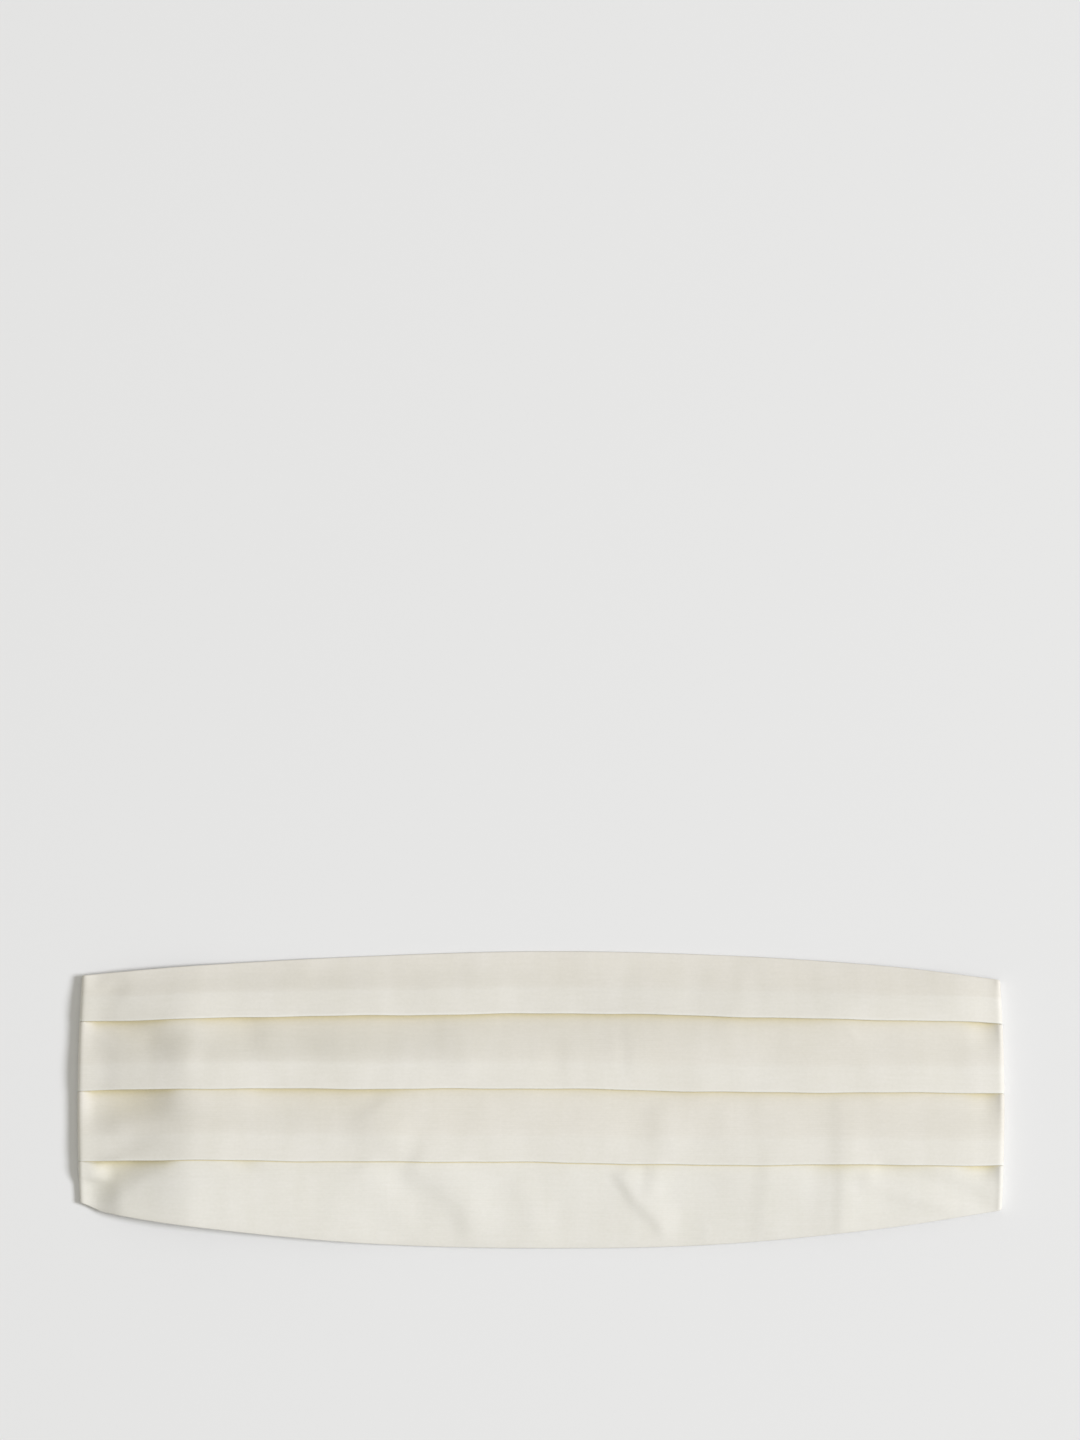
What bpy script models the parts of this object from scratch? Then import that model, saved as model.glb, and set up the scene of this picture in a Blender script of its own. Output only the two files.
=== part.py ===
"""Ivory silk cummerbund with three knife pleats, fastened and laid flat with its front up.

The pleated front is one cloth. It lies over the hidden layers, turns under at both ends in a
rounded fold and comes back along the surface as two tapering ends, which a strap and a hook
clasp join under the middle. X runs along the garment, Y across it towards its upper edge, and
Z up from the surface that it lies on. The origin is on that surface, at the middle.
"""

import math

import bmesh
import bpy
from mathutils import Vector

MM = 0.001

# Cloth
CLOTH = 1.0 * MM  # silk with its interfacing
PLY_GAP = 0.2 * MM  # air between two plies of a pleat
PLY_PITCH = CLOTH + PLY_GAP
STACK = CLOTH + 2 * PLY_PITCH  # three plies, where a pleat laps the next band
PIECE_GAP = 0.3 * MM  # between two pieces at a seam

# The garment as it lies
HALF_LENGTH = 186 * MM
END_BOW = 1.5 * MM  # the end folds bow out this far between their corners
BOW_START = 100 * MM  # and the bow fades towards the middle, to nothing here
BOW_HALF_WIDTH = 48 * MM
TIP_X = 60 * MM  # where the turned-under ends stop, either side of the middle
INNER_TURN = {-1: 2.0 * MM, 1: 1.4 * MM}  # inner radius of the left and the right end fold

# Lines across the front, in millimetres, on stations measured along the cloth from its middle.
# Stations past the half length lie on the ends that are turned under.
LINES = (
    # station, upper edge, pleat 1, pleat 2, pleat 3, lower edge
    (-315.0, 28.0, 14.0, 0.0, -14.0, -28.0),
    (-215.0, 46.8, 28.4, 3.0, -22.2, -38.4),
    (-191.0, 49.4, 31.0, 3.5, -24.5, -41.0),
    (-185.0, 49.8, 31.4, 3.6, -24.8, -41.6),
    (-176.0, 50.7, 31.5, 3.7, -24.7, -45.2),
    (-140.0, 53.7, 32.1, 4.0, -24.4, -50.9),
    (-70.0, 57.5, 33.7, 4.4, -24.6, -57.6),
    (0.0, 59.5, 34.3, 4.1, -25.3, -59.5),
    (70.0, 58.0, 33.4, 3.2, -26.0, -58.0),
    (140.0, 53.5, 31.6, 2.5, -26.3, -51.3),
    (184.5, 48.2, 30.2, 2.4, -26.4, -44.6),
    (215.0, 44.0, 27.2, 2.0, -23.2, -40.0),
    (315.0, 28.0, 14.0, 0.0, -14.0, -28.0),
)

# A pleat's section
LAP = 9.0 * MM  # how far a pleat is folded up behind itself, on a full-width band
FULL_BAND = 28.5 * MM
RAMP_START = 0.8 * MM  # from the inner fold to where the cloth above begins to fall
RAMP_LENGTH = 3.5 * MM
STEP_START = 0.5 * MM  # from a pleat's edge to where the cloth below begins to rise
EDGE_ANGLES = (90, 150, 210, 270)  # degrees round a pleat's edge, at the middle of the cloth
FOLD_ANGLES = (90, 30, -30, -90)  # and round the fold hidden behind it
HEM_RADIUS = 1.2 * MM  # the hem along both long edges, at the middle of the cloth
HEM_ANGLES = (0, 45, 90)
HEM_DEPTH = 1.3 * MM  # how far the hem reaches below the cloth's inner face
BAND_STEPS = 1  # points on the open band between two pleats
LOWEST_BAND_STEPS = 3  # and on the lowest band, which the creases cross

# How the front lies over what is under it
CROWN = (
    # x, height of the cloth's inner face along the middle, in millimetres
    (-180.6, 7.4),
    (-140.0, 7.2),
    (-70.0, 6.4),
    (0.0, 6.0),
    (70.0, 6.0),
    (140.0, 6.1),
    (181.2, 6.2),
)
EDGE_LIFT = 1.8 * MM  # height of the inner face where the long edges reach the surface
DROOP_LENGTH = 40 * MM  # the cloth sags down to there over this overhang
BAND_PUFF = 1.2 * MM  # the lowest band stands loose by this much
PUFF_FADE = 30 * MM  # and is flat again this far from either end fold

# The left end sinks in a shallow bowl between its fold and the layers under it.
BOWL_CENTRE = (-168 * MM, -9 * MM)
BOWL_REACH = (26 * MM, 35 * MM)
BOWL_DEPTH = 2.3 * MM
BOWL_FLOOR = 0.35  # share of the reach that is level
BOWL_LIP = 9 * MM  # the fold itself stays up over this length

# Creases in the lower bands: points on the crease in millimetres, half width and depth.
CREASES = (
    # name, points, half width, depth
    ("left sweep", ((-58, -28), (-40, -36), (-27, -56)), 6.5, 0.9),
    ("left drag", ((-72, -30), (-58, -54)), 6.0, 0.6),
    ("sharp fold", ((29, -35), (53, -57)), 4.0, 0.9),
    ("cross fold", ((119.3, -6), (119.3, -52)), 3.8, 0.7),
    ("right drag", ((132, -29), (176, -39)), 5.5, 0.6),
)
CREASE_TAPER = 6 * MM  # a crease fades out over this length at each end

# Sections along the front: the end of each stretch and how many steps it has.
FRONT_STEPS = (
    # x in millimetres, steps up to it
    (-135.0, 7),
    (-75.0, 4),
    (-20.0, 6),
    (25.0, 3),
    (57.0, 5),
    (111.5, 4),
    (127.0, 4),
)
LAST_FRONT_STEPS = 5  # from there to the right end fold
TURN_STEPS = 8
END_STEPS = 5

# Hidden layers
LAYER_CLEARANCE = 0.6 * MM  # under the front's inner face
LAYER_INSET = 2.4 * MM  # from the front's long edges
LAYER_SLIT = 0.16  # height of the slit between the layers, as a share of their thickness
SLIT_DEPTH = 1.2 * MM
LAYER_COLUMNS = 22
NOSE_ANGLES = (25, 50, 70, 84)  # degrees round each rounded end

# Strap and clasp under the middle
STRAP_WIDTH = 28 * MM
STRAP_TURN_X = 12 * MM  # centre of the strap's turn round the clasp's bar
STRAP_TURN_STEPS = 8
TAIL_SLOPE = 6 * MM  # past the bar the tail comes down on the strap over this length
TAIL_SLOPE_STEPS = 4
TAIL_LENGTH = 24 * MM  # from the bar to the tail's end
PLATE = 0.8 * MM  # clasp metal
PLATE_LOW = CLOTH + PIECE_GAP  # the plates lie over the strap's lower run
PLATE_WIDTH = 34 * MM
BAR = 2.5 * MM
SLOT = 2.2 * MM  # beside the bar, where the strap comes up
SLOT_PLAY = 0.7 * MM  # each side of the strap
NECK = 5 * MM  # metal of the hook's plate beyond its slot
EYE_REACH = 1.0 * MM  # the eye plate stops this far short of the middle
EYE_END_BAR = 2.5 * MM
EYE_HOLE = (4.2 * MM, 15 * MM)
TONGUE_WIDTH = 11 * MM
TONGUE_LIFT = 0.15 * MM  # over the surface, where it passes under the eye's end bar
TONGUE_ROOT = 1.5 * MM  # length inside the plate
TONGUE_DROP = (0.6 * MM, 2.4 * MM)  # it goes down between these distances from the plate
TONGUE_PAST_BAR = 1.2 * MM
TONGUE_BEND = 0.5 * MM
CUTTER_PLAY = 1.0 * MM  # a cutter stands out of the plate by this much

SMOOTH_BELOW = 35  # degrees between two faces that are shaded as one surface

SILK_IVORY = (0.80, 0.77, 0.69, 1.0)
LINING_IVORY = (0.74, 0.71, 0.62, 1.0)
STRAP_IVORY = (0.76, 0.73, 0.64, 1.0)
CLASP_METAL = (0.72, 0.71, 0.68, 1.0)


def clear_scene():
    for found in list(bpy.data.objects):
        bpy.data.objects.remove(found, do_unlink=True)


def ease(share):
    """0 up to share 0 and 1 from share 1, with a smooth rise between."""
    share = max(0.0, min(1.0, share))
    return share * share * (3 - 2 * share)


def curve_through(table, place):
    """The columns of a table at a place in its first column, on a smooth curve through its rows."""
    rows = [tuple(value * MM for value in row) for row in table]
    first = max(i for i in range(len(rows) - 1) if i == 0 or rows[i][0] <= place)
    before, after = rows[first], rows[first + 1]
    earlier = rows[max(first - 1, 0)]
    later = rows[min(first + 2, len(rows) - 1)]
    span = after[0] - before[0]
    t = (place - before[0]) / span
    values = []
    for column in range(1, len(before)):
        slope_before = (after[column] - earlier[column]) / (after[0] - earlier[0])
        slope_after = (later[column] - before[column]) / (later[0] - before[0])
        values.append(
            (2 * t**3 - 3 * t**2 + 1) * before[column]
            + (t**3 - 2 * t**2 + t) * span * slope_before
            + (3 * t**2 - 2 * t**3) * after[column]
            + (t**3 - t**2) * span * slope_after
        )
    return values


# Where the cloth goes


def turn_start(side):
    """Where the front begins to turn under, measured from the middle."""
    return HALF_LENGTH - STACK - INNER_TURN[side]


def turn_length(side):
    """Length of cloth in an end fold, at the middle of its plies."""
    return math.pi * (INNER_TURN[side] + STACK / 2)


def tip_station(side):
    """Length along the cloth from its middle to the tip of a turned-under end."""
    return 2 * turn_start(side) + turn_length(side) - TIP_X


def support(x):
    """Upper and lower edge of what lies under the front there: the turned end, or the strap."""
    side = 1 if x > 0 else -1
    inward = max(turn_start(side) - max(abs(x), TIP_X), 0.0)
    station = side * (turn_start(side) + turn_length(side) + inward)
    lines = curve_through(LINES, station)
    to_strap = ease((TIP_X - abs(x)) / (TIP_X / 2))
    half_strap = STRAP_WIDTH / 2 + MM
    return (
        lines[0] + (half_strap - lines[0]) * to_strap,
        lines[-1] + (-half_strap - lines[-1]) * to_strap,
    )


def droop(x, y):
    """0 over what holds the front up, rising to 1 where its edge has sagged to the surface."""
    upper, lower = support(x)
    return ease(max(y - upper, lower - y) / DROOP_LENGTH)


def bowl(x, y):
    from_centre = math.hypot(
        (x - BOWL_CENTRE[0]) / BOWL_REACH[0], (y - BOWL_CENTRE[1]) / BOWL_REACH[1]
    )
    lip = ease((x + turn_start(-1)) / BOWL_LIP)
    return BOWL_DEPTH * lip * (1 - ease((from_centre - BOWL_FLOOR) / (1 - BOWL_FLOOR)))


def crease(points, half_width, depth, x, y):
    """Depth of one crease at a point: a soft trough that fades at both ends."""
    corners = [Vector((px * MM, py * MM)) for px, py in points]
    lengths = [(b - a).length for a, b in zip(corners, corners[1:])]
    here = Vector((x, y))
    nearest, along = math.inf, 0.0
    for i, (a, b) in enumerate(zip(corners, corners[1:])):
        share = max(0.0, min(1.0, (here - a).dot(b - a) / lengths[i] ** 2))
        away = (here - a.lerp(b, share)).length
        if away < nearest:
            nearest, along = away, sum(lengths[:i]) + share * lengths[i]
    across = max(0.0, 1 - nearest / (half_width * MM))
    ends = min(along, sum(lengths) - along) / CREASE_TAPER
    return depth * MM * ease(across) * ease(ends)


def puff(x, y):
    """The lowest band stands loose between the last pleat and the lower edge."""
    lines = curve_through(LINES, x)
    down = (lines[3] - y) / (lines[3] - lines[4])
    if not 0 < down < 1:
        return 0.0
    fade = min(ease((turn_start(side) - side * x) / PUFF_FADE) for side in (-1, 1))
    return BAND_PUFF * math.sin(math.pi * down) ** 2 * fade


def base_height(x, y):
    """Height of the front's inner face over the surface."""
    crown = curve_through(CROWN, x)[0]
    height = EDGE_LIFT + (crown - EDGE_LIFT) * (1 - droop(x, y))
    troughs = sum(crease(*row[1:], x, y) for row in CREASES)
    return height + puff(x, y) - bowl(x, y) - troughs


def bowed(x, y, z):
    """The point moved inwards where it lies off the middle of an end, so that the end bows out."""
    share = ease((abs(x) - BOW_START) / (HALF_LENGTH - BOW_START))
    shorter = share * END_BOW * (y / BOW_HALF_WIDTH) ** 2
    return Vector((x - math.copysign(shorter, x), y, z))


def on_path(station, y, rise):
    """A point of the pleated cloth, at a rise over its inner face: front, end fold or turned end."""
    side = 1 if station > 0 else -1
    start, length, radius = turn_start(side), turn_length(side), INNER_TURN[side]
    past = abs(station) - start
    if past <= 0:
        return bowed(station, y, base_height(station, y) + rise)
    if past < length:
        angle = math.pi * past / length
        reach = radius + rise
        centre_z = STACK + radius
        return bowed(
            side * (start + reach * math.sin(angle)), y, centre_z + reach * math.cos(angle)
        )
    return bowed(side * (start + length - past), y, STACK - rise)


# The pleated cloth's section


def arc(centre, radius, angles, face_out):
    """Nodes round an arc: place, direction of the cloth's face, and the side that skips them."""
    nodes = []
    for i, degrees in enumerate(angles):
        out = Vector((math.cos(math.radians(degrees)), math.sin(math.radians(degrees))))
        inside = 0 < i < len(angles) - 1
        skips = ("back" if face_out else "face") if inside else ""
        nodes.append((centre + out * radius, out if face_out else -out, skips))
    return nodes


def pleat(edge, lap, level):
    """Nodes of one pleat, downwards: ramp, edge, the ply folded up behind, and the band below.

    level is how many plies over the innermost one the open bands lie.
    """
    middle = CLOTH / 2
    top, under = middle + 2 * PLY_PITCH, middle
    band = middle + level * PLY_PITCH
    turn = PLY_PITCH / 2
    nose_y = edge + turn + middle
    inner_y = edge + lap - turn - middle
    ramp_y = edge + lap + RAMP_START
    nodes = [
        (Vector((ramp_y + RAMP_LENGTH, band)), None, ""),
        (Vector((ramp_y + RAMP_LENGTH / 2, (band + top) / 2)), None, ""),
        (Vector((ramp_y, top)), None, ""),
    ]
    nodes += arc(Vector((nose_y, top - turn)), turn, EDGE_ANGLES, True)
    nodes += arc(Vector((inner_y, under + turn)), turn, FOLD_ANGLES, False)
    nodes.append((Vector((edge - STEP_START, under)), None, ""))
    step_length = RAMP_LENGTH * (1 - level / 4)
    nodes.append((Vector((edge - STEP_START - step_length, band)), None, ""))
    return nodes


def hem(edge, level, depth, upwards):
    """Nodes of the hem that turns the cloth's edge down, at the upper or the lower long edge."""
    band = CLOTH / 2 + level * PLY_PITCH
    inward = -1 if upwards else 1
    centre = Vector((edge + inward * (CLOTH / 2 + HEM_RADIUS), band - HEM_RADIUS))
    end_y = edge + inward * CLOTH / 2
    end = (Vector((end_y, min(-depth, centre.y - PLY_GAP))), Vector((-inward, 0)), "")
    if upwards:
        return [end] + arc(centre, HEM_RADIUS, HEM_ANGLES, True)
    mirrored = [180 - degrees for degrees in reversed(HEM_ANGLES)]
    return arc(centre, HEM_RADIUS, mirrored, True) + [end]


def between(first, last, steps):
    """Nodes that divide the stretch of a band between two others."""
    return [(first.lerp(last, i / (steps + 1)), None, "") for i in range(1, steps + 1)]


def section(station):
    """Closed outline of the cloth's section at a station, as (y, rise), face side first."""
    upper, edge_1, edge_2, edge_3, lower = curve_through(LINES, station)
    side = 1 if station > 0 else -1
    past = abs(station) - turn_start(side)
    flat = ease(past / (turn_length(side) / 2))  # from the fold on, the face is pressed flat
    level = 2 * flat
    lap = LAP * min(1.0, (edge_1 - edge_3) / 2 / FULL_BAND)
    nodes = hem(upper, level, HEM_DEPTH * (1 - flat), True)
    for edge in (edge_1, edge_2, edge_3):
        folded = pleat(edge, lap, level)
        nodes += between(nodes[-1][0], folded[0][0], BAND_STEPS) + folded
    last = hem(lower, level, HEM_DEPTH * (1 - flat), False)
    nodes += between(nodes[-1][0], last[0][0], LOWEST_BAND_STEPS) + last
    face, back = [], []
    for i, (place, normal, skips) in enumerate(nodes):
        if normal is None:
            along = (nodes[i + 1][0] - nodes[i - 1][0]).normalized()
            normal = Vector((along.y, -along.x))
        if skips != "face":
            face.append(place + normal * (CLOTH / 2))
        if skips != "back":
            back.append(place - normal * (CLOTH / 2))
    return face + back[::-1]


def front_places():
    """X of each section of the front, from the left end fold to the right one."""
    places = [-turn_start(-1)]
    for end, steps in FRONT_STEPS:
        start = places[-1]
        places += [start + (end * MM - start) * i / steps for i in range(1, steps + 1)]
    start, end = places[-1], turn_start(1)
    steps = LAST_FRONT_STEPS
    return places + [start + (end - start) * i / steps for i in range(1, steps + 1)]


def stations():
    """Stations of the pleated cloth's sections, from its left tip to its right tip."""
    past_front = []
    for side in (-1, 1):
        start, length = turn_start(side), turn_length(side)
        turned = [start + length * i / TURN_STEPS for i in range(1, TURN_STEPS + 1)]
        first, last = turned[-1], tip_station(side)
        # The steps grow from the fold, where the cloth settles flat, to the tip.
        turned += [
            first + (last - first) * (i / END_STEPS) ** 1.6 for i in range(1, END_STEPS + 1)
        ]
        past_front.append([side * station for station in turned])
    return past_front[0][::-1] + front_places() + past_front[1]


# Making the solids


def material(name, colour, roughness, metallic=0.0):
    made = bpy.data.materials.new(name)
    made.use_nodes = True
    shader = made.node_tree.nodes["Principled BSDF"]
    shader.inputs["Base Color"].default_value = colour
    shader.inputs["Roughness"].default_value = roughness
    shader.inputs["Metallic"].default_value = metallic
    made.diffuse_color = colour
    return made


def add_object(name, mesh_data, finish, smooth=True):
    mesh = bpy.data.meshes.new(name)
    bmesh.ops.recalc_face_normals(mesh_data, faces=mesh_data.faces)
    mesh_data.to_mesh(mesh)
    mesh_data.free()
    mesh.materials.append(finish)
    if smooth:
        mesh.shade_smooth()
        mesh.set_sharp_from_angle(angle=math.radians(SMOOTH_BELOW))
    made = bpy.data.objects.new(name, mesh)
    bpy.context.scene.collection.objects.link(made)
    return made


def loft(rings):
    """One closed skin through rings of equally many points, with a cap at each end."""
    made = bmesh.new()
    loops = [[made.verts.new(point) for point in ring] for ring in rings]
    for before, after in zip(loops, loops[1:]):
        count = len(before)
        for i in range(count):
            j = (i + 1) % count
            made.faces.new((before[i], before[j], after[j], after[i]))
    made.faces.new(loops[0][::-1])
    made.faces.new(loops[-1])
    return made


def make_pleated_front(finish):
    rings = [
        [on_path(station, point.x, point.y) for point in section(station)]
        for station in stations()
    ]
    return add_object("pleated_front", loft(rings), finish)


def layer_ring(x):
    """Section of the hidden layers at x: a rounded slab with a slit along each long edge."""
    side = 1 if x > 0 else -1
    inside = max(-turn_start(-1), min(turn_start(1), x))
    nose = INNER_TURN[side] - PIECE_GAP
    past = abs(x - inside)
    slimmer = math.sqrt(max(nose**2 - past**2, 0.0)) / nose
    middle_z = STACK + INNER_TURN[side]
    lines = curve_through(LINES, inside)
    lower, upper = lines[-1] + LAYER_INSET, lines[0] - LAYER_INSET

    def heights(y):
        top = base_height(inside, y) - LAYER_CLEARANCE
        under = (STACK + PIECE_GAP) * (1 - droop(inside, y))
        if past > 0:
            top = middle_z + (top - middle_z) * slimmer
            under = middle_z + (under - middle_z) * slimmer
        return under, top

    across = [lower + (upper - lower) * i / LAYER_COLUMNS for i in range(1, LAYER_COLUMNS)]

    def long_edge(y, inward):
        """From the top face down to the underside, round one long edge."""
        under, top = heights(y)
        thick = top - under
        slit = LAYER_SLIT * thick / 2
        middle = (top + under) / 2
        return [
            bowed(x, y, top - 0.25 * thick),
            bowed(x, y, middle + slit),
            bowed(x, y + inward * SLIT_DEPTH, middle),
            bowed(x, y, middle - slit),
            bowed(x, y, under + 0.25 * thick),
        ]

    top_face = [bowed(x, y, heights(y)[1]) for y in across]
    underside = [bowed(x, y, heights(y)[0]) for y in reversed(across)]
    return top_face + long_edge(upper, -1) + underside + long_edge(lower, 1)[::-1]


def make_hidden_layers(finish):
    places = front_places()
    for side in (-1, 1):
        nose = INNER_TURN[side] - PIECE_GAP
        rounded = [
            side * (turn_start(side) + nose * math.sin(math.radians(angle)))
            for angle in NOSE_ANGLES
        ]
        places = rounded[::-1] + places if side < 0 else places + rounded
    return add_object("hidden_layers", loft([layer_ring(x) for x in places]), finish)


def ribbon(line, thickness, width, side):
    """A strip of even thickness along a line in X and Z, across the garment's middle."""
    upper, lower = [], []
    for i, point in enumerate(line):
        along = (line[min(i + 1, len(line) - 1)] - line[max(i - 1, 0)]).normalized()
        normal = Vector((-along.y, along.x))
        upper.append(point + normal * thickness / 2)
        lower.append(point - normal * thickness / 2)
    outline = upper + lower[::-1]
    rings = [
        [Vector((side * point.x, y, point.y)) for point in outline]
        for y in (-width / 2, width / 2)
    ]
    return loft(rings)


def make_strap(side, name, finish):
    """One half of the strap: along the surface, up round the clasp's bar and back as a tail."""
    low, high = CLOTH / 2, STACK - CLOTH / 2
    tail = low + CLOTH + PIECE_GAP
    turn = (high - low) / 2
    line = [Vector((TIP_X - PIECE_GAP, low))]
    for i in range(STRAP_TURN_STEPS + 1):
        angle = math.pi * i / STRAP_TURN_STEPS
        x = STRAP_TURN_X - turn * math.sin(angle)
        line.append(Vector((x, low + turn - turn * math.cos(angle))))
    for i in range(TAIL_SLOPE_STEPS + 1):
        share = i / TAIL_SLOPE_STEPS
        x = STRAP_TURN_X + BAR + TAIL_SLOPE * share
        line.append(Vector((x, high + (tail - high) * ease(share))))
    line.append(Vector((STRAP_TURN_X + BAR + TAIL_LENGTH, tail)))
    return add_object(name, ribbon(line, CLOTH, STRAP_WIDTH, side), finish)


def block(name, low, high, finish):
    """A box between two corners."""
    mesh_data = bmesh.new()
    bmesh.ops.create_cube(mesh_data, size=1.0)
    low, high = Vector(low), Vector(high)
    for vert in mesh_data.verts:
        vert.co = Vector(
            (low[i] + (high[i] - low[i]) * (vert.co[i] + 0.5) for i in range(3))
        )
    return add_object(name, mesh_data, finish, smooth=False)


def combine(target, helper, operation):
    """Joins or cuts target with helper, which is then only a guide."""
    modifier = target.modifiers.new(helper.name, "BOOLEAN")
    modifier.operation = operation
    modifier.object = helper
    modifier.solver = "EXACT"
    helper.hide_render = True
    helper.display_type = "WIRE"


def cut_hole(plate, name, ends, half_width, finish):
    """Cuts a hole between two X values through a clasp plate."""
    cutter = block(
        name,
        (min(ends), -half_width, PLATE_LOW - CUTTER_PLAY),
        (max(ends), half_width, PLATE_LOW + PLATE + CUTTER_PLAY),
        finish,
    )
    combine(plate, cutter, "DIFFERENCE")


def plate_with_slot(side, name, inner_x, finish):
    """A clasp plate from its strap bar to inner_x, with the slot that the strap goes through."""
    bar_end = STRAP_TURN_X - PIECE_GAP
    ends = sorted((side * (bar_end + BAR), inner_x))
    half = PLATE_WIDTH / 2
    plate = block(
        name, (ends[0], -half, PLATE_LOW), (ends[1], half, PLATE_LOW + PLATE), finish
    )
    slot_ends = (side * bar_end, side * (bar_end - SLOT))
    cut_hole(plate, f"{name}_slot", slot_ends, STRAP_WIDTH / 2 + SLOT_PLAY, finish)
    return plate


def make_clasp_eye(finish):
    eye = plate_with_slot(-1, "clasp_eye", -EYE_REACH, finish)
    hole_end = -EYE_REACH - EYE_END_BAR
    cut_hole(
        eye, "clasp_eye_hole", (hole_end, hole_end - EYE_HOLE[0]), EYE_HOLE[1] / 2, finish
    )


def make_clasp_hook(finish):
    """The plate whose tongue goes down under the eye's end bar and hooks up through its hole."""
    plate_edge = STRAP_TURN_X - PIECE_GAP - SLOT - NECK
    hook = plate_with_slot(1, "clasp_hook", plate_edge, finish)
    in_plate = PLATE_LOW + PLATE / 2
    under_bar = TONGUE_LIFT + PLATE / 2
    tip_x = -EYE_REACH - EYE_END_BAR - TONGUE_PAST_BAR
    line = (
        Vector((plate_edge + TONGUE_ROOT, in_plate)),
        Vector((plate_edge - TONGUE_DROP[0], in_plate)),
        Vector((plate_edge - TONGUE_DROP[1], under_bar)),
        Vector((tip_x + TONGUE_BEND, under_bar)),
        Vector((tip_x, under_bar + TONGUE_BEND)),
        Vector((tip_x, PLATE_LOW + PLATE)),
    )
    shape = ribbon(line, PLATE, TONGUE_WIDTH, 1)
    tongue = add_object("clasp_tongue", shape, finish, smooth=False)
    combine(hook, tongue, "UNION")


def main():
    clear_scene()
    silk = material("ivory_silk", SILK_IVORY, 0.55)
    lining = material("ivory_lining", LINING_IVORY, 0.6)
    webbing = material("strap_webbing", STRAP_IVORY, 0.75)
    metal = material("clasp_metal", CLASP_METAL, 0.3, 1.0)
    make_pleated_front(silk)
    make_hidden_layers(lining)
    make_strap(-1, "strap_left", webbing)
    make_strap(1, "strap_right", webbing)
    make_clasp_eye(metal)
    make_clasp_hook(metal)


main()
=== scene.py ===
"""Ivory silk cummerbund with three knife pleats, fastened and laid flat, seen from straight above."""

import math

import bpy
import numpy as np
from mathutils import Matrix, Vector


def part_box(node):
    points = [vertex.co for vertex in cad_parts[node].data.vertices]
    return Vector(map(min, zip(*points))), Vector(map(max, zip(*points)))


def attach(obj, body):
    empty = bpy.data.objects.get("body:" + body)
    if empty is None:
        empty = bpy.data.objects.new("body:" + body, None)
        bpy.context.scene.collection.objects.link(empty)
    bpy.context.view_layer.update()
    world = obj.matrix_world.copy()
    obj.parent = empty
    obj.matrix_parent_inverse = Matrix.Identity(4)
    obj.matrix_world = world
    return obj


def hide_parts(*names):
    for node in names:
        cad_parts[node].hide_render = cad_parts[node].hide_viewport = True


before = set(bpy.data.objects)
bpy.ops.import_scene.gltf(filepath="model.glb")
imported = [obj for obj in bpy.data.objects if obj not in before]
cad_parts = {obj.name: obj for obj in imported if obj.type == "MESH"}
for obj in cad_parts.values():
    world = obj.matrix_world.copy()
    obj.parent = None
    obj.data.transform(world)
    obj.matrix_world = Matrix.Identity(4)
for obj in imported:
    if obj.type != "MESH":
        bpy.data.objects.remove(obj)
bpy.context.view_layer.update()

MM = 0.001
BODY = "root"

# ---------------------------------------------------------------------------------------------
# Sizes. The garment's reach comes from the frame, and the cloth here is as thin as the real one.

HALF_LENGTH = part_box("pleated_front")[1][0]
TIP_X, STRAP_HALF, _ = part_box("strap_right")[1]
SILK = 0.40 * MM  # silk and its interlining
PLY = 0.52 * MM  # from one ply of a pleat to the next
PLY_TURN = PLY / 2  # radius of a pleat's fold, at the middle of the cloth
STACK = SILK + 2 * PLY
# The left and the right end fold: how far they roll past where they start, the height that their
# cloth's length is cut for, and how round the roll is, from 1 for a round one down to boxier ones
TURN_REACH = {-1: 2.6 * MM, 1: 2.6 * MM}
TURN_HEIGHT = {-1: 5.6 * MM, 1: 6.3 * MM}
ROLL = {-1: 0.77, 1: 0.8}
END_BOW = 1.5 * MM  # the end folds bow out this far between their corners
BOW_START = 100 * MM
BOW_HALF_WIDTH = 48 * MM

# How far across the garment its long edges and its pleats' edges lie, in millimetres, at stations
# measured along the cloth from its middle. Those past the half length lie on the turned ends.
LINES = (
    # station, upper edge, pleat 1, pleat 2, pleat 3, lower edge
    (-315.0, 28.0, 14.0, 0.0, -14.0, -28.0),
    (-215.0, 46.8, 28.4, 3.0, -22.2, -38.4),
    (-191.0, 49.4, 31.0, 3.5, -24.5, -41.0),
    (-185.0, 49.8, 31.4, 3.6, -24.8, -41.6),
    (-176.0, 50.7, 31.5, 3.7, -24.7, -45.2),
    (-140.0, 53.7, 32.1, 4.0, -24.4, -50.9),
    (-70.0, 57.5, 33.7, 4.4, -24.6, -57.6),
    (0.0, 59.5, 34.3, 4.1, -25.3, -59.5),
    (70.0, 58.0, 33.4, 3.2, -26.0, -58.0),
    (140.0, 53.5, 31.6, 2.5, -26.3, -51.3),
    (184.5, 48.2, 30.2, 2.4, -26.4, -44.6),
    (215.0, 44.0, 27.2, 2.0, -23.2, -40.0),
    (315.0, 28.0, 14.0, 0.0, -14.0, -28.0),
)
WANDER = (
    # millimetres that a pleat's edge strays from its line: wavelength, height, phase in turns
    (143.0, 0.22, 0.10),
    (61.0, 0.12, 0.45),
    (27.0, 0.06, 0.80),
)

# A pleat's section
LAP = 9.2 * MM  # where its three plies lie on each other
FULL_BAND = 28.5 * MM  # between two pleats' edges, below which the lap shrinks with it
RAMP_START = 0.5 * MM  # a band reaches the top ply's height this far before the lap
STEP_START = 0.25 * MM  # the next band starts this far outside the edge over it
STEP_LENGTH = 0.6 * MM  # and comes to its own height over this
STEP_CLOSED = 0.06  # share of both that is left where a fold is pressed flat
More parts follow.
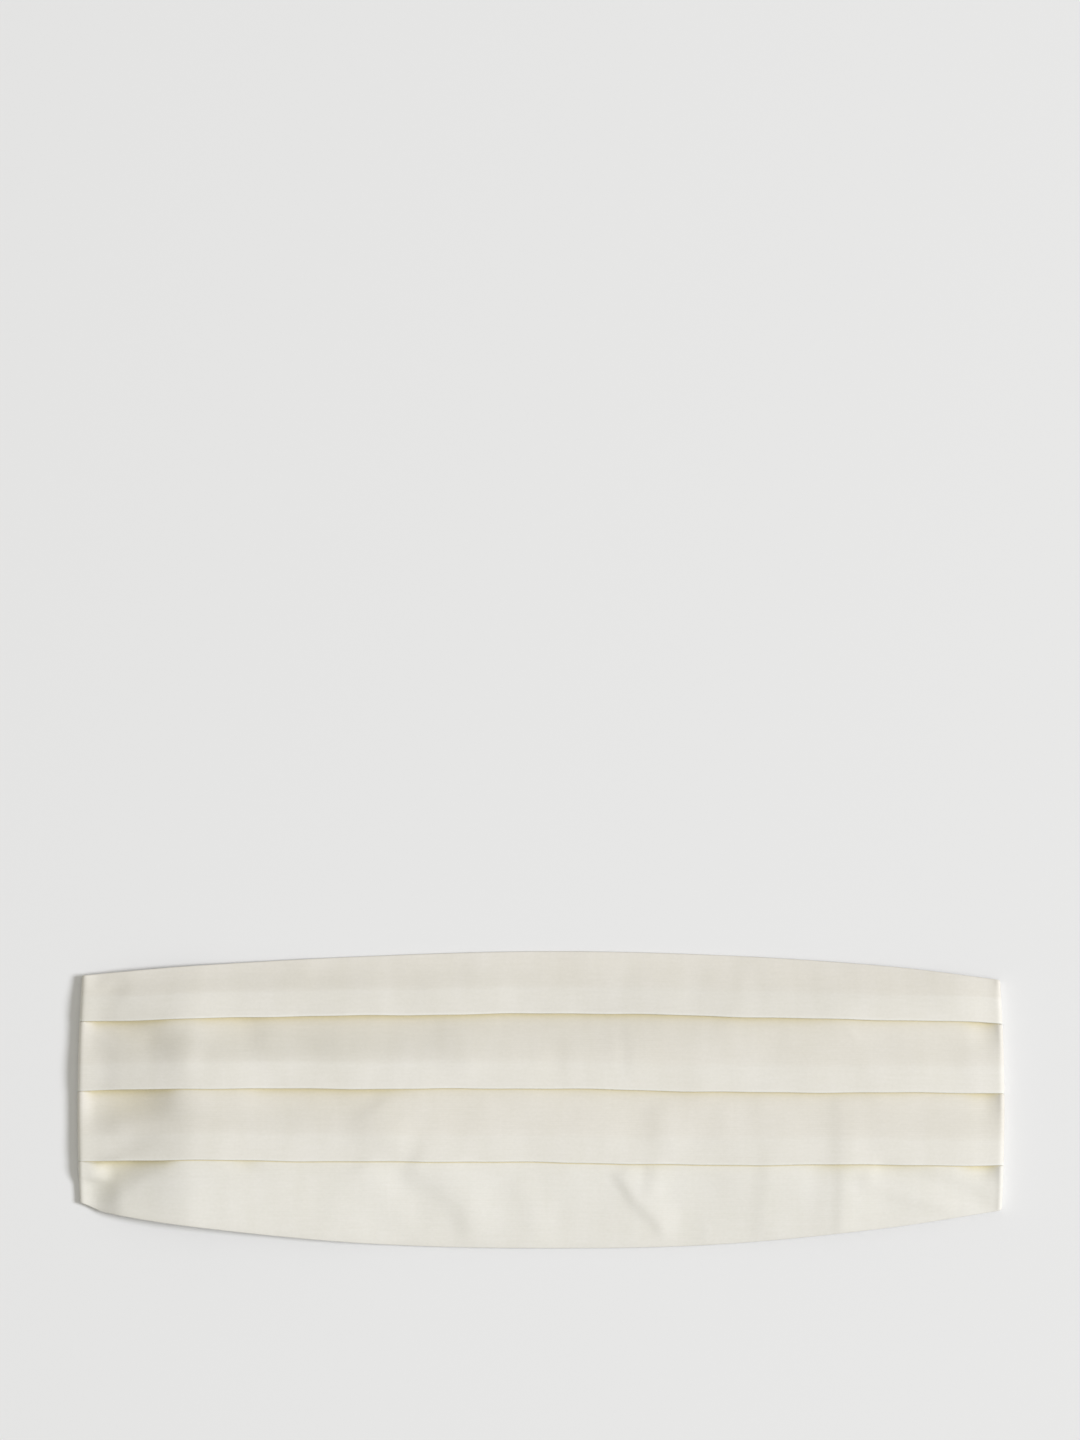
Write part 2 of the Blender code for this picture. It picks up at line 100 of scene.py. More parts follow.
# How pale the cloth looks, where 0 is a band and 1 is the look of three plies; paler still is painted
# light
EDGE_PAINTED_HIGHLIGHT = 3.0  # a pressed fold's very edge: a painted highlight
EDGE_PAINTED_HIGHLIGHT_TURN = 0.6  # of the turn round the edge, which has the painted highlight too
LOOSE_PAINTED_LIGHT = 1.7  # the loose lowest band: painted light all over it
PALE_POWER = 12  # of the share of the way down a band, so that only its foot turns pale
BAND_DARKER = (
    # x, and how much darker the middle of the first, second and third band is there, from 0 to 1
    (-186.0, 0.1, 0.25, 0.2),
    (-150.0, 0.4, 0.6, 0.3),
    (-110.0, 0.45, 1.0, 0.4),
    (-60.0, 0.35, 0.8, 0.1),
    (-20.0, 0.3, 0.4, 0.0),
    (30.0, 0.05, 0.15, 0.0),
    (80.0, 0.0, 0.15, 0.0),
    (130.0, 0.0, 0.2, 0.2),
    (186.0, 0.1, 0.5, 0.4),
)
BAND_DARKER_RISE = 27 / 4  # brings share^2 (1 - share) to 1 at its highest
HEM = 8 * MM
NOSE_LIFT = 0.15  # of a mouth's opening, how far it lifts the edge over it
NOSE_OPENING = 1.5 * MM  # a wider mouth lifts it no further
PRESS_REACH = {-1: 4 * MM, 1: 0.6 * MM}  # the pleats close this far before an end fold

MOUTHS = (
    # x, and how far the cloth lies under the edge of pleat 1, 2 and 3, in millimetres
    (-186.0, 0.0, 0.0, 0.0),
    (-181.0, 0.5, 0.7, 0.1),
    (-176.0, 0.9, 1.4, 0.2),
    (-172.0, 1.3, 2.1, 0.3),
    (-168.0, 1.5, 2.6, 0.3),
    (-164.0, 1.5, 2.8, 0.3),
    (-160.0, 1.3, 2.6, 0.3),
    (-156.0, 1.0, 2.1, 0.3),
    (-152.0, 0.7, 1.4, 0.25),
    (-148.0, 0.45, 0.65, 0.2),
    (-144.0, 0.4, 0.25, 0.1),
    (-140.0, 0.4, 0.2, 0.1),
    (-126.0, 1.1, 0.35, 0.1),
    (-118.0, 1.6, 0.4, 0.4),
    (-110.0, 1.2, 0.7, 0.1),
    (-90.0, 1.2, 1.2, 0.05),
    (-72.0, 1.2, 1.0, 0.05),
    (-50.0, 1.1, 0.4, 0.1),
    (-30.0, 0.8, 0.3, 0.05),
    (-10.0, 0.8, 0.3, 0.0),
    (20.0, 0.75, 0.5, 0.05),
    (45.0, 0.75, 0.45, 0.3),
    (60.0, 0.65, 0.45, 0.05),
    (100.0, 0.65, 0.5, 0.1),
    (118.0, 0.45, 0.45, 0.55),
    (126.0, 0.4, 0.4, 0.45),
    (145.0, 0.4, 0.4, 0.4),
    (165.0, 0.3, 0.3, 0.15),
    (171.0, 0.5, 0.5, 0.5),
    (176.0, 0.9, 0.9, 1.0),
    (179.5, 0.95, 0.95, 1.1),
    (182.5, 0.45, 0.45, 0.45),
    (185.0, 0.05, 0.05, 0.05),
    (187.0, 0.0, 0.0, 0.0),
)
SHADE_REACH = 1.5 * MM  # down the band under an edge
SHADE_OPENING = 0.7 * MM  # a mouth as wide as this is fully shaded
SHADE_LEAST = 0.15  # the shade under an edge that lies closed
SHADE_SINK = 9 * MM  # sunk this deep, a band has as much painted shade as right under an edge
SINK_SHARE = 0.85  # of a band, over which it comes back up from a mouth
LOOSE_SINK = 9 * MM  # the same on the loose lowest band
LOOSE_REACH = 40 * MM  # the lowest band lies within this below its pleat's edge
DENT_X = (-126 * MM, -142 * MM)  # from x to x the bands come to lie in the left end's dent
DENT_HOLD = 0.25  # of a band, that lies as deep there as under the edge
DENT_SLANT = 13 * MM  # the dent's rim slants this far to the right down the second band
DENT_SLANT_REACH = 12 * MM

# How the front lies over what is under it
CROWN = (
    # x, height of the cloth's inner face along the middle, in millimetres
    (-186.0, 4.0),
    (-176.0, 4.9),
    (-158.0, 7.5),
    (-143.0, 9.7),
    (-132.0, 9.8),
    (-108.0, 9.0),
    (-70.0, 8.8),
    (-40.0, 8.3),
    (0.0, 7.3),
    (40.0, 6.5),
    (70.0, 6.1),
    (110.0, 5.8),
    (140.0, 5.2),
    (170.0, 4.1),
    (186.0, 3.4),
)
ENDS = {
    # y, height of the inner face where an end fold begins, in millimetres
    -1: (
        (-50.0, 1.6),
        (-42.0, 1.7),
        (-37.0, 1.7),
        (-33.5, 1.95),
        (-29.0, 3.0),
        (-22.0, 3.8),
        (-10.0, 3.7),
        (4.0, 4.0),
        (12.0, 4.3),
        (24.0, 4.0),
        (36.0, 4.1),
        (50.0, 3.1),
    ),
    1: ((-50.0, 2.9), (-34.0, 3.6), (-26.0, 3.3), (2.0, 3.3), (30.0, 3.1), (50.0, 2.3)),
}
END_BLEND = {-1: 15 * MM, 1: 12 * MM}  # over which the front comes to those heights
UPPER_LIFT = 0.8 * MM
LOWER_LIFT = ((-186.0, 3.4), (-150.0, 3.1), (-110.0, 2.4), (0.0, 2.0), (186.0, 2.0))  # at x, in mm
UPPER_FALL = (
    # x, how far inside what holds it up the upper edge starts to fall, and over what reach, in mm
    (-186.0, 14.0, 43.0),
    (-150.0, 18.0, 43.0),
    (-100.0, 16.0, 43.0),
    (-50.0, 8.0, 44.0),
    (0.0, 4.0, 42.0),
    (50.0, 6.0, 40.0),
    (100.0, 10.0, 38.0),
    (186.0, 12.0, 36.0),
)
LOWER_DROOP = 34 * MM  # from what holds the lower edge up to where it has sagged all the way
DROOP_START = 0.06  # of that, over which the sag sets in
TIP_BLEND = 25 * MM  # past the turned ends' tips, where the strap starts to be all that holds it up

# The lowest band sinks towards the left corner below this line, and stands up in a knuckle.
CORNER_RIM = ((-143.0, -24.0), (-173.0, -43.0))
CORNER_WALL = 12 * MM  # over this length
CORNER_SINK = 2.25 * MM
KNUCKLE = (-179.5, -28.8)  # x and y, in millimetres
KNUCKLE_REACH = (7.5, 4.8)  # to both sides of it along x and along y, in millimetres
KNUCKLE_HEIGHT = 1.5 * MM
KNUCKLE_SIDE = 1.6  # how steep its sides are across the garment

CREASES = {
    # points on each, half width to its left and to its right, and depth (below 0 for a ridge), in mm
    "left sweep": (((-74, -24), (-66, -34), (-59, -42), (-54, -56)), (14.0, 10.0), -0.45),
    "left drag": (((-54, -24), (-42, -32), (-31, -41), (-25, -56)), (9.0, 16.0), -0.60),
    "middle drag": (((-10, -30), (-4, -42), (0, -56)), (7.0, 9.0), -0.18),
    "sharp fold": (((29, -28), (34, -34), (38, -40.5), (45, -47), (51, -55)), (3.6, 12.0), -0.72),
    "sharp fold branch": (((44, -23), (45.5, -31), (43.5, -40)), (4.8, 8.0), -0.50),
    "soft crease": (((93, -23), (91, -40), (90, -57)), (8.0, 20.0), -0.44),
    "small tuck": (((66, -51), (67.5, -58)), (1.8, 2.2), -0.14),
    "cross fold": (((120.6, -24), (120.4, -40), (119.6, -57)), (3.4, 8.0), -0.30),
    "cross fold swell": (((122, -22), (122, -40), (121, -57)), (15.0, 20.0), -0.50),
    "cross fold above": (((121, 3), (121.5, -12), (121.4, -26)), (7.0, 12.0), -0.38),
    "right drag": (((132, -27), (152, -32), (170, -37), (183, -41)), (6.5, 6.5), 0.62),
    "right drag ridge": (((126, -31), (148, -38), (168, -44)), (6.0, 6.0), -0.45),
    "left edge crease": (((-186, 42.6), (-180, 42.8), (-171, 43.4)), (2.0, 2.0), 0.45),
    "left corner sag": (((-176, 47), (-168, 40)), (8.0, 8.0), 0.50),
    "left dent": (((-170, -12), (-168, -24)), (13.0, 22.0), 1.2),
    "second band hollow": (((-160, 27), (-152, 12)), (9.0, 9.0), 0.38),
    "second band rise": (((-146, 27), (-139, 13)), (9.0, 9.0), -0.40),
    "nick": (((122, 28.5), (128, 23.5)), (1.8, 1.8), -0.25),
    "dimple": (((107.4, -7.8), (108.8, -7.8)), (1.6, 1.6), 0.25),
    "upper sag left": (((-95, 50), (-70, 46), (-45, 45)), (9.0, 9.0), 0.22),
    "upper sag right": (((80, 47), (105, 46), (130, 44)), (9.0, 9.0), 0.20),
    "second band drag": (((-111, 29), (-107, 18), (-105, 8)), (10.0, 16.0), -0.34),
    "second band swell": (((-28, 32), (-30, 20), (-28, 8)), (16.0, 26.0), -0.55),
    "second band fold": (((31, 32), (33, 20), (32, 8)), (4.0, 4.0), 0.20),
    "second band soft": (((2, 28), (6, 18), (4, 8)), (7.0, 7.0), 0.18),
    "third band soft": (((46, -1), (49, -10), (47, -22)), (8.0, 14.0), -0.36),
    "third band drag": (((70, 0), (74, -9), (70, -20)), (5.0, 12.0), -0.14),
    "third band left": (((-68, 0), (-62, -10), (-65, -21)), (20.0, 16.0), -0.60),
}
CREASE_FADE = 7 * MM  # along a crease, from each end
CREASE_TIP = 0.15  # of that, left at its very end
UNDULATION = (
    # soft waves of the whole cloth: wavelength along and across in mm, height in mm, phase
    (67.0, 90.0, 0.10, 0.15),
    (38.0, -70.0, 0.07, 0.60),
    (23.0, 55.0, 0.035, 0.35),
    (14.0, -31.0, 0.015, 0.80),
)
UNDULATION_FADE = 10 * MM  # before an end fold

# How finely the silk is divided: steps over each stretch, and how they crowd towards its start or,
# on a plateau, its end
FRONT_STEP = 1.7 * MM
TURN_STEPS = 12
END_STEPS = 24
BAND_STEPS = 15
BAND_CROWDING = 1.6
PLATEAU_STEPS = 5
PLATEAU_CROWDING = 1.8
END_CROWDING = 1.3
ROUND_STEPS = 6
HIDDEN_STEPS = 3
LOWEST_BAND_STEPS = 19
HEM_STEPS = 3

# Lining
LINING = 0.26 * MM
LINING_DEPTH = (0.16 * MM, 0.66 * MM)  # of its middle under the silk: pressed close, and loose
LINING_CORNER = (-145 * MM, -175 * MM, 10 * MM)  # from x to x it draws in, at the flat corner
LINING_BACK = 1.6 * MM  # it turns this far before the silk does
LINING_INSET = 3.6 * MM
LINING_STEP = 3.0 * MM
LINING_COLUMNS = 44
LINING_SEAM = 5 * MM  # from the tip, over which it comes to lie against the silk
LINING_OVER_STRAP = (5 * MM, 4 * MM)  # it rises over the strap from here outside it, over this
LINING_PAST_STRAP = (8 * MM, 6 * MM)  # the same past the strap's end in the seam

# Strap, in X and Z from the middle of the surface that it lies on
STRAP = 0.92 * MM
STRAP_RUN = 0.5 * MM  # height of its middle where it lies on the surface
STRAP_INSET = 0.1 * MM  # inside its solid's long edges
STRAP_IN_SEAM = 12 * MM
SEAM_RISE = 8 * MM  # it rises over this length to the seam in the turned end's tip
SEAM_CLEARANCE = 0.06 * MM
STRAP_TURN_X = 12 * MM
STRAP_TURN = 1.2 * MM
BAR = 2.5 * MM
TAIL_SLOPE = 6 * MM
TAIL_RISE = 1.8 * MM  # height of the tail's middle
TAIL_LENGTH = 24 * MM
STRAP_MARGIN = 1 * MM  # the front is held up this far outside it
STRAP_STEP = 1.0 * MM
STRAP_TURN_STEPS = 12
TAIL_STEPS = 24
STRAP_COLUMNS = 15

# Clasp: two plates of flat steel, one with a tongue that hooks up through the other's hole
PLATE = 0.8 * MM
PLATE_MIDDLE = 1.7 * MM
PLATE_HALF = 17 * MM
PLATE_END = 14.2 * MM
SLOT = (9.5 * MM, 11.7 * MM)
SLOT_HALF = 14.7 * MM
EYE_END = 1.0 * MM
EYE_HOLE = (3.5 * MM, 7.7 * MM)
EYE_HOLE_HALF = 7.5 * MM
HOOK_END = 4.5 * MM
TONGUE_HALF = 5.5 * MM
TONGUE_UNDER = 0.55 * MM  # height of the tongue's middle under the eye's end bar
TONGUE_TIP = -4.7 * MM
TONGUE_ROOT = 1.5 * MM  # this much of it lies in the hook's plate
TONGUE_FALL = (0.6 * MM, 2.4 * MM)  # it runs down between these distances from the plate
TONGUE_BEND = 0.5 * MM
PLATE_CORNER = 1.6 * MM
HOLE_CORNER = 0.7 * MM
PLATE_EDGE = 0.14 * MM
HOLE_CUT = 1 * MM  # past the plate's two faces

# Sewing
STITCH = (2.1 * MM, 0.34 * MM, 0.22 * MM)  # long, wide and high
STITCH_PITCH = 2.7 * MM
BOX_STITCH = (19 * MM, 36 * MM, 10.5 * MM)  # from x to x on the tail, and half its width
TIP_STITCH = (2.6 * MM, 25 * MM)  # in from the turned end's tip, and half the row's length
STITCH_SUNK = 0.06 * MM  # into the webbing's underside, and half of it into the turned end's


# ---------------------------------------------------------------------------------------------
# Materials

RIB_WAVE = math.pi / 10  # a wave texture's scale for ribs that lie 1 apart


def linear(colour):
    """A hex sRGB colour as linear values with alpha."""
    parts = [int(colour[i : i + 2], 16) / 255 for i in (1, 3, 5)]
    return [*(c / 12.92 if c <= 0.04045 else ((c + 0.055) / 1.055) ** 2.4 for c in parts), 1.0]


def add_node(tree, kind, inputs=None, **settings):
    """Adds a node. inputs maps a socket's name or number to a value or to another node's output."""
    node = tree.nodes.new(kind)
    for name, value in settings.items():
        setattr(node, name, value)
    for socket, value in (inputs or {}).items():
        if isinstance(value, bpy.types.NodeSocket):
            tree.links.new(value, node.inputs[socket])
        else:
            node.inputs[socket].default_value = value
    return node


def new_material(name, values):
    """A material whose shader has the given values on its own sockets."""
    made = bpy.data.materials.new(name)
    made.use_nodes = True
    tree = made.node_tree
    shader = tree.nodes["Principled BSDF"]
    for socket, value in values.items():
        shader.inputs[socket].default_value = value
    return made, tree, shader


def in_millimetres(tree, place):
    inputs = {0: place, 1: (1000, 1000, 1000)}
    return add_node(tree, "ShaderNodeVectorMath", inputs, operation="MULTIPLY").outputs[0]


def cloth_millimetres(tree):
    """The cloth's own flat measures, along it and across it."""
    return in_millimetres(tree, add_node(tree, "ShaderNodeUVMap", uv_map="cloth").outputs["UV"])


def uneven_marks(tree, millimetres, length, width, detail=3.0):
    """Marks without an order, from 0 to 1, about as long and as wide as given in millimetres."""
    inputs = {"Vector": millimetres, "Scale": (1 / length, 1 / width, 1)}
    scaled = add_node(tree, "ShaderNodeMapping", inputs).outputs[0]
    inputs = {"Vector": scaled, "Scale": 1.0, "Detail": detail}
    return add_node(tree, "ShaderNodeTexNoise", inputs).outputs["Fac"]


def darkened(tree, colour, *marks):
    """The colour multiplied by a darker one where each of the marks is strong."""
    settings = {"data_type": "RGBA", "blend_type": "MULTIPLY"}
    for amount, darker in marks:
        inputs = {0: amount, 6: colour, 7: linear(darker)}
        colour = add_node(tree, "ShaderNodeMix", inputs, **settings).outputs[2]
    return colour


def link_surface(tree, shader, colour, relief, strength, depth):
    """Links a colour to the shader, and a relief from 0 to 1 as bumps of a depth in metres."""
    tree.links.new(colour, shader.inputs["Base Color"])
    inputs = {"Height": relief, "Strength": strength, "Distance": depth}
    tree.links.new(add_node(tree, "ShaderNodeBump", inputs).outputs[0], shader.inputs["Normal"])


def silk_faille():
    """Ivory silk faille: a matte weave whose heavier weft runs along the garment, with a soft low
    sheen. Where three plies lie on each other it looks paler. Painted onto it are a highlight along
    the pressed folds' edges, light all over the loose lowest band, warm shade under a pleat's edge
    and where a band sinks, and grey shade in the lowest band's left corner; on some stretches its
    bands are also a little darker in the middle."""
    values = {
        "Roughness": 0.6,
        "Specular IOR Level": 0.4,
        "Sheen Weight": 0.1,
        "Sheen Roughness": 0.45,
    }
    made, tree, shader = new_material("ivory_silk_faille", values)
    cloth = cloth_millimetres(tree)
    plies = add_node(tree, "ShaderNodeAttribute", attribute_name="plies").outputs["Fac"]
    shade = add_node(tree, "ShaderNodeAttribute", attribute_name="shade").outputs["Fac"]
    darker_and_painted_shade = add_node(tree, "ShaderNodeAttribute", attribute_name="darker_and_painted_shade").outputs["Fac"]
    # Weft threads are thicker over some 12 mm here and there. They are drawn 1.2 mm apart, where
    # the real ones lie 0.3 mm apart, too fine to show.
    slubs = uneven_marks(tree, cloth, 12.0, 1.2, 2.0)
    grain = uneven_marks(tree, cloth, 1.4, 1.2)
    # Across the weft the cloth is mottled in soft streaks, and its tone changes slowly over a
    # hand's width, as undyed silk's does.
    streaks = uneven_marks(tree, cloth, 7.0, 26.0)
    tone = uneven_marks(tree, cloth, 38.0, 38.0)
    # The second colour is the look of three plies. Pushed past it, the mix paints a highlight along
    # the pressed folds' edges and light on the loose lowest band.
    inputs = {0: plies, 6: linear("#EFEBE5"), 7: linear("#F1EEE9")}
    silk = add_node(tree, "ShaderNodeMix", inputs, data_type="RGBA", clamp_factor=False)
    # Painted shade: warm under the pleats' edges and where the bands sink, and grey in the lowest
    # band's left corner. The same grey darkens the middle of some bands on some stretches.
    colour = darkened(
        tree,
        silk.outputs[2],
        (slubs, "#FAFAF8"),
        (grain, "#F6F6F5"),
        (streaks, "#F7F7F4"),
        (tone, "#FBFAF6"),
        (darker_and_painted_shade, "#F4F4F2"),
        (shade, "#F2EBCC"),
    )
    # The weft's ribs are drawn 0.7 mm apart, for the same reason.
    inputs = {"Vector": cloth, "Scale": RIB_WAVE / 0.7, "Distortion": 0.5, "Detail": 1.0}
    weft = add_node(tree, "ShaderNodeTexWave", inputs, bands_direction="Y").outputs["Fac"]
    relief = add_node(tree, "ShaderNodeMath", {0: weft, 1: 0.4, 2: slubs}, operation="MULTIPLY_ADD")
    link_surface(tree, shader, colour, relief.outputs[0], 0.4, 0.06 * MM)
    return made


def satin_lining():
    """Ivory satin: a smooth face with a sheen, its floats too fine to show."""
    values = {"Roughness": 0.38, "Specular IOR Level": 0.5, "Anisotropic": 0.4}
    made, tree, shader = new_material("ivory_satin_lining", values)
    cloth = cloth_millimetres(tree)
    floats = uneven_marks(tree, cloth, 0.9, 7.0, 2.0)
    tone = uneven_marks(tree, cloth, 31.0, 31.0)
    inputs = {0: floats, 6: linear("#E6E1D3"), 7: linear("#DFDACB")}
    satin = add_node(tree, "ShaderNodeMix", inputs, data_type="RGBA").outputs[2]
    colour = darkened(tree, satin, (tone, "#F6F5F0"))
    link_surface(tree, shader, colour, floats, 0.25, 0.05 * MM)
    return made


def ribbed_webbing():
    """Ivory grosgrain webbing: round ribs across it, drawn 1 mm apart where real ones lie 0.6 mm
    apart, with a matte surface and painted shade between them."""
    values = {"Roughness": 0.75, "Specular IOR Level": 0.3}
    made, tree, shader = new_material("ivory_grosgrain_webbing", values)
    cloth = cloth_millimetres(tree)
    inputs = {"Vector": cloth, "Scale": RIB_WAVE, "Distortion": 0.5, "Detail": 1.0}
    rib = add_node(tree, "ShaderNodeTexWave", inputs, bands_direction="X").outputs["Fac"]
    fibres = uneven_marks(tree, cloth, 0.5, 2.2)
    # Painted shade: darker between the ribs, following their relief.
    inputs = {0: rib, 6: linear("#D2CDBE"), 7: linear("#E7E3D7")}
    ribbed = add_node(tree, "ShaderNodeMix", inputs, data_type="RGBA").outputs[2]
    colour = darkened(tree, ribbed, (fibres, "#F2F1EC"))
    link_surface(tree, shader, colour, rib, 0.7, 0.14 * MM)
    return made


def nickel_plate():
    """Nickel-plated steel, satin, with fine brush marks across the garment."""
    made, tree, shader = new_material("nickel_plated_steel", {"Metallic": 1.0})
    millimetres = in_millimetres(tree, add_node(tree, "ShaderNodeTexCoord").outputs["Object"])
    brushing = uneven_marks(tree, millimetres, 0.25, 6.0)
    inputs = {0: brushing, 6: linear("#CFCCC4"), 7: linear("#BDBAB2")}
    colour = add_node(tree, "ShaderNodeMix", inputs, data_type="RGBA").outputs[2]
    tree.links.new(colour, shader.inputs["Base Color"])
    inputs = {"Value": brushing, "To Min": 0.24, "To Max": 0.36}
    roughness = add_node(tree, "ShaderNodeMapRange", inputs).outputs[0]
    tree.links.new(roughness, shader.inputs["Roughness"])
    return made


def plain_material(name, colour, roughness):
    """Matte, with no pattern that would show: the paper under the garment, or fine silk thread."""
    return new_material(name, {"Base Color": linear(colour), "Roughness": roughness})[0]


# ---------------------------------------------------------------------------------------------
# Where the cloth goes. Places are arrays, one value for each point of the sheet.


def ease(share):
    """0 up to share 0 and 1 from share 1, with a smooth rise between."""
    share = np.clip(share, 0.0, 1.0)
    return share * share * (3 - 2 * share)


def curve_through(table, place):
    """A table's columns at places in its first column, on a smooth curve through its rows."""
    rows = np.array(table) * MM
    count = len(rows)
    earlier = rows[np.maximum(np.arange(count) - 1, 0)]
    later = rows[np.minimum(np.arange(count) + 1, count - 1)]
    slopes = (later - earlier)[:, 1:] / (later - earlier)[:, :1]
    place = np.asarray(place, dtype=float)
    i = np.clip(np.searchsorted(rows[:, 0], place, side="right") - 1, 0, count - 2)
    span = (rows[i + 1, 0] - rows[i, 0])[..., None]
    t = (place[..., None] - rows[i, :1]) / span
    values = (
        (2 * t**3 - 3 * t**2 + 1) * rows[i, 1:]
        + (t**3 - 2 * t**2 + t) * span * slopes[i]
        + (3 * t**2 - 2 * t**3) * rows[i + 1, 1:]
        + (t**3 - t**2) * span * slopes[i + 1]
    )
    return [values[..., column] for column in range(values.shape[-1])]


def at_side(values, x):
    """The left end's value or the right end's, for places on either side."""
    return np.where(np.asarray(x) > 0, values[1], values[-1])


def turn_start(x, back=0.0):
    """How far from the middle an end fold begins. The lining's lies back from the silk's."""
    return HALF_LENGTH - at_side(TURN_REACH, x) - back


def turn_length(x, back=0.0):
    """The cloth's length round an end fold: half an ellipse."""
    wide = at_side(TURN_REACH, x) - STACK / 2 + back
    high = at_side(TURN_HEIGHT, x) / 2
    return math.pi * np.sqrt((wide**2 + high**2) / 2)


def tip_station(side, back=0.0):
    return float(2 * turn_start(side, back) + turn_length(side, back) - TIP_X)


def lines_at(station):
    """Upper edge, the three pleats' edges and lower edge, the pleats straying a little."""
    lines = curve_through(LINES, station)
    for pleat in (1, 2, 3):
        for wavelength, height, phase in WANDER:
            turns = station / (wavelength * MM) + phase * pleat
            lines[pleat] = lines[pleat] + height * MM * np.sin(2 * math.pi * turns)
    return lines


def support(x):
    """Upper and lower edge of what lies under the front there: the turned end, or the strap."""
    inward = np.maximum(turn_start(x) - np.maximum(np.abs(x), TIP_X), 0.0)
    station = np.where(x > 0, 1, -1) * (turn_start(x) + turn_length(x) + inward)
    lines = curve_through(LINES, station)
    to_strap = ease((TIP_X + TIP_BLEND - np.abs(x)) / (TIP_X + TIP_BLEND))
    half_strap = STRAP_HALF + STRAP_MARGIN
    return (
        lines[0] + (half_strap - lines[0]) * to_strap,
        lines[-1] + (-half_strap - lines[-1]) * to_strap,
    )


def droop(x, y):
    """0 over what holds the front up, rising to 1 where its edge has sagged to the surface."""
    lines = curve_through(LINES, x)
    upper, lower = support(x)
    below = np.clip((np.minimum(lines[3], lower) - y) / LOWER_DROOP, 0, 1)
    inside, reach = curve_through(UPPER_FALL, x)
    lower_droop = below**2 / (below + DROOP_START) * (1 + DROOP_START)
    return ease((y - upper + inside) / reach) + lower_droop


def corner_sink(x, y):
    """How far the lowest band sinks towards the left corner, apart from its knuckle."""
    (ax, ay), (bx, by) = np.array(CORNER_RIM) * MM
    length = math.hypot(bx - ax, by - ay)
    inside = ((x - ax) * (by - ay) - (y - ay) * (bx - ax)) / length
    return CORNER_SINK * ease(inside / CORNER_WALL)


def knuckle(x, y):
    across = (x / MM - KNUCKLE[0]) / KNUCKLE_REACH[0]
    along = (y / MM - KNUCKLE[1]) / KNUCKLE_REACH[1]
    return KNUCKLE_HEIGHT * ease(1 - np.abs(across)) * ease(KNUCKLE_SIDE * (1 - np.abs(along)))


def mouths(station):
    """Openings under the three pleats' edges, closed at the end folds."""
    return [opening * (1 - pressed(station)) for opening in curve_through(MOUTHS, station)]


def at_end(x):
    """0 on the front, rising to 1 where an end fold begins."""
    blend = at_side(END_BLEND, x)
    return ease((np.abs(x) - turn_start(x) + blend) / blend)


def sink(pleat, station, y, share):
    """How far a band lies below its place, a share of the way down from the pleat above it."""
    in_dent = ease((DENT_X[0] - station) / (DENT_X[0] - DENT_X[1]))
    hold = DENT_HOLD * in_dent
    place = station
    if pleat == 0:
        down = curve_through(LINES, station)[1] - y
        place = station - DENT_SLANT * ease(down / DENT_SLANT_REACH) * in_dent
    depth = mouths(place)[pleat] * (1 - pressed(station)) * (1 - ease((share - hold) / (1 - hold)))
    if pleat == 2:
        depth = depth + corner_sink(station, y) * (1 - at_end(station))
    return depth


def crease(points, half_widths, depth, x, y):
    """Depth of one crease: a soft trough, or a ridge, that fades at both ends."""
    corners = np.array(points) * MM
    lengths = np.linalg.norm(np.diff(corners, axis=0), axis=1)
    starts = np.concatenate([[0], np.cumsum(lengths)])
    nearest = np.full(x.shape, np.inf)
    along = np.zeros(x.shape)
    middle_x = np.zeros(x.shape)
    for a, b, length, start in zip(corners, corners[1:], lengths, starts):
        share = ((x - a[0]) * (b[0] - a[0]) + (y - a[1]) * (b[1] - a[1])) / length**2
        share = np.clip(share, 0, 1)
        near_x, near_y = a[0] + (b[0] - a[0]) * share, a[1] + (b[1] - a[1]) * share
        away = np.hypot(x - near_x, y - near_y)
        closer = away < nearest
        middle_x = np.where(closer, near_x, middle_x)
        nearest = np.where(closer, away, nearest)
        along = np.where(closer, start + share * length, along)
    left, right = half_widths
    across = ease(1 - nearest / np.where(x < middle_x, left * MM, right * MM))
    fade = min(CREASE_FADE, starts[-1] / 2)
    ends = ease(np.minimum(along, starts[-1] - along) / fade + CREASE_TIP)
    return depth * MM * across * ends


def undulation(x, y):
    total = np.zeros(x.shape)
    for along, across, height, phase in UNDULATION:
        turns = x / (along * MM) + y / (across * MM) + phase
        total = total + height * MM * np.sin(2 * math.pi * turns)
    return total * ease((turn_start(x) - np.abs(x)) / UNDULATION_FADE)


def base_height(x, y):
    """Height of the front's inner face over the surface."""
    crown = curve_through(CROWN, x)[0]
    lift = np.where(y > 0, UPPER_LIFT, curve_through(LOWER_LIFT, x)[0])
    height = lift + (crown - lift) * (1 - droop(x, y))
    for points, half_widths, depth in CREASES.values():
        height = height - crease(points, half_widths, depth, x, y)
    height = height + undulation(x, y)
    for side in (-1, 1):
        end = curve_through(ENDS[side], y)[0]
        height = height + (end - height) * np.where(side * x > 0, at_end(x), 0.0)
    return height + knuckle(x, y)


def bowed(x, y, z):
    """Points moved inwards where they lie off the middle of an end, so that the end bows out."""
    share = ease((np.abs(x) - BOW_START) / (HALF_LENGTH - BOW_START))
    shorter = share * END_BOW * (y / BOW_HALF_WIDTH) ** 2
    return np.stack([x - np.sign(x) * shorter, y, z], axis=-1)


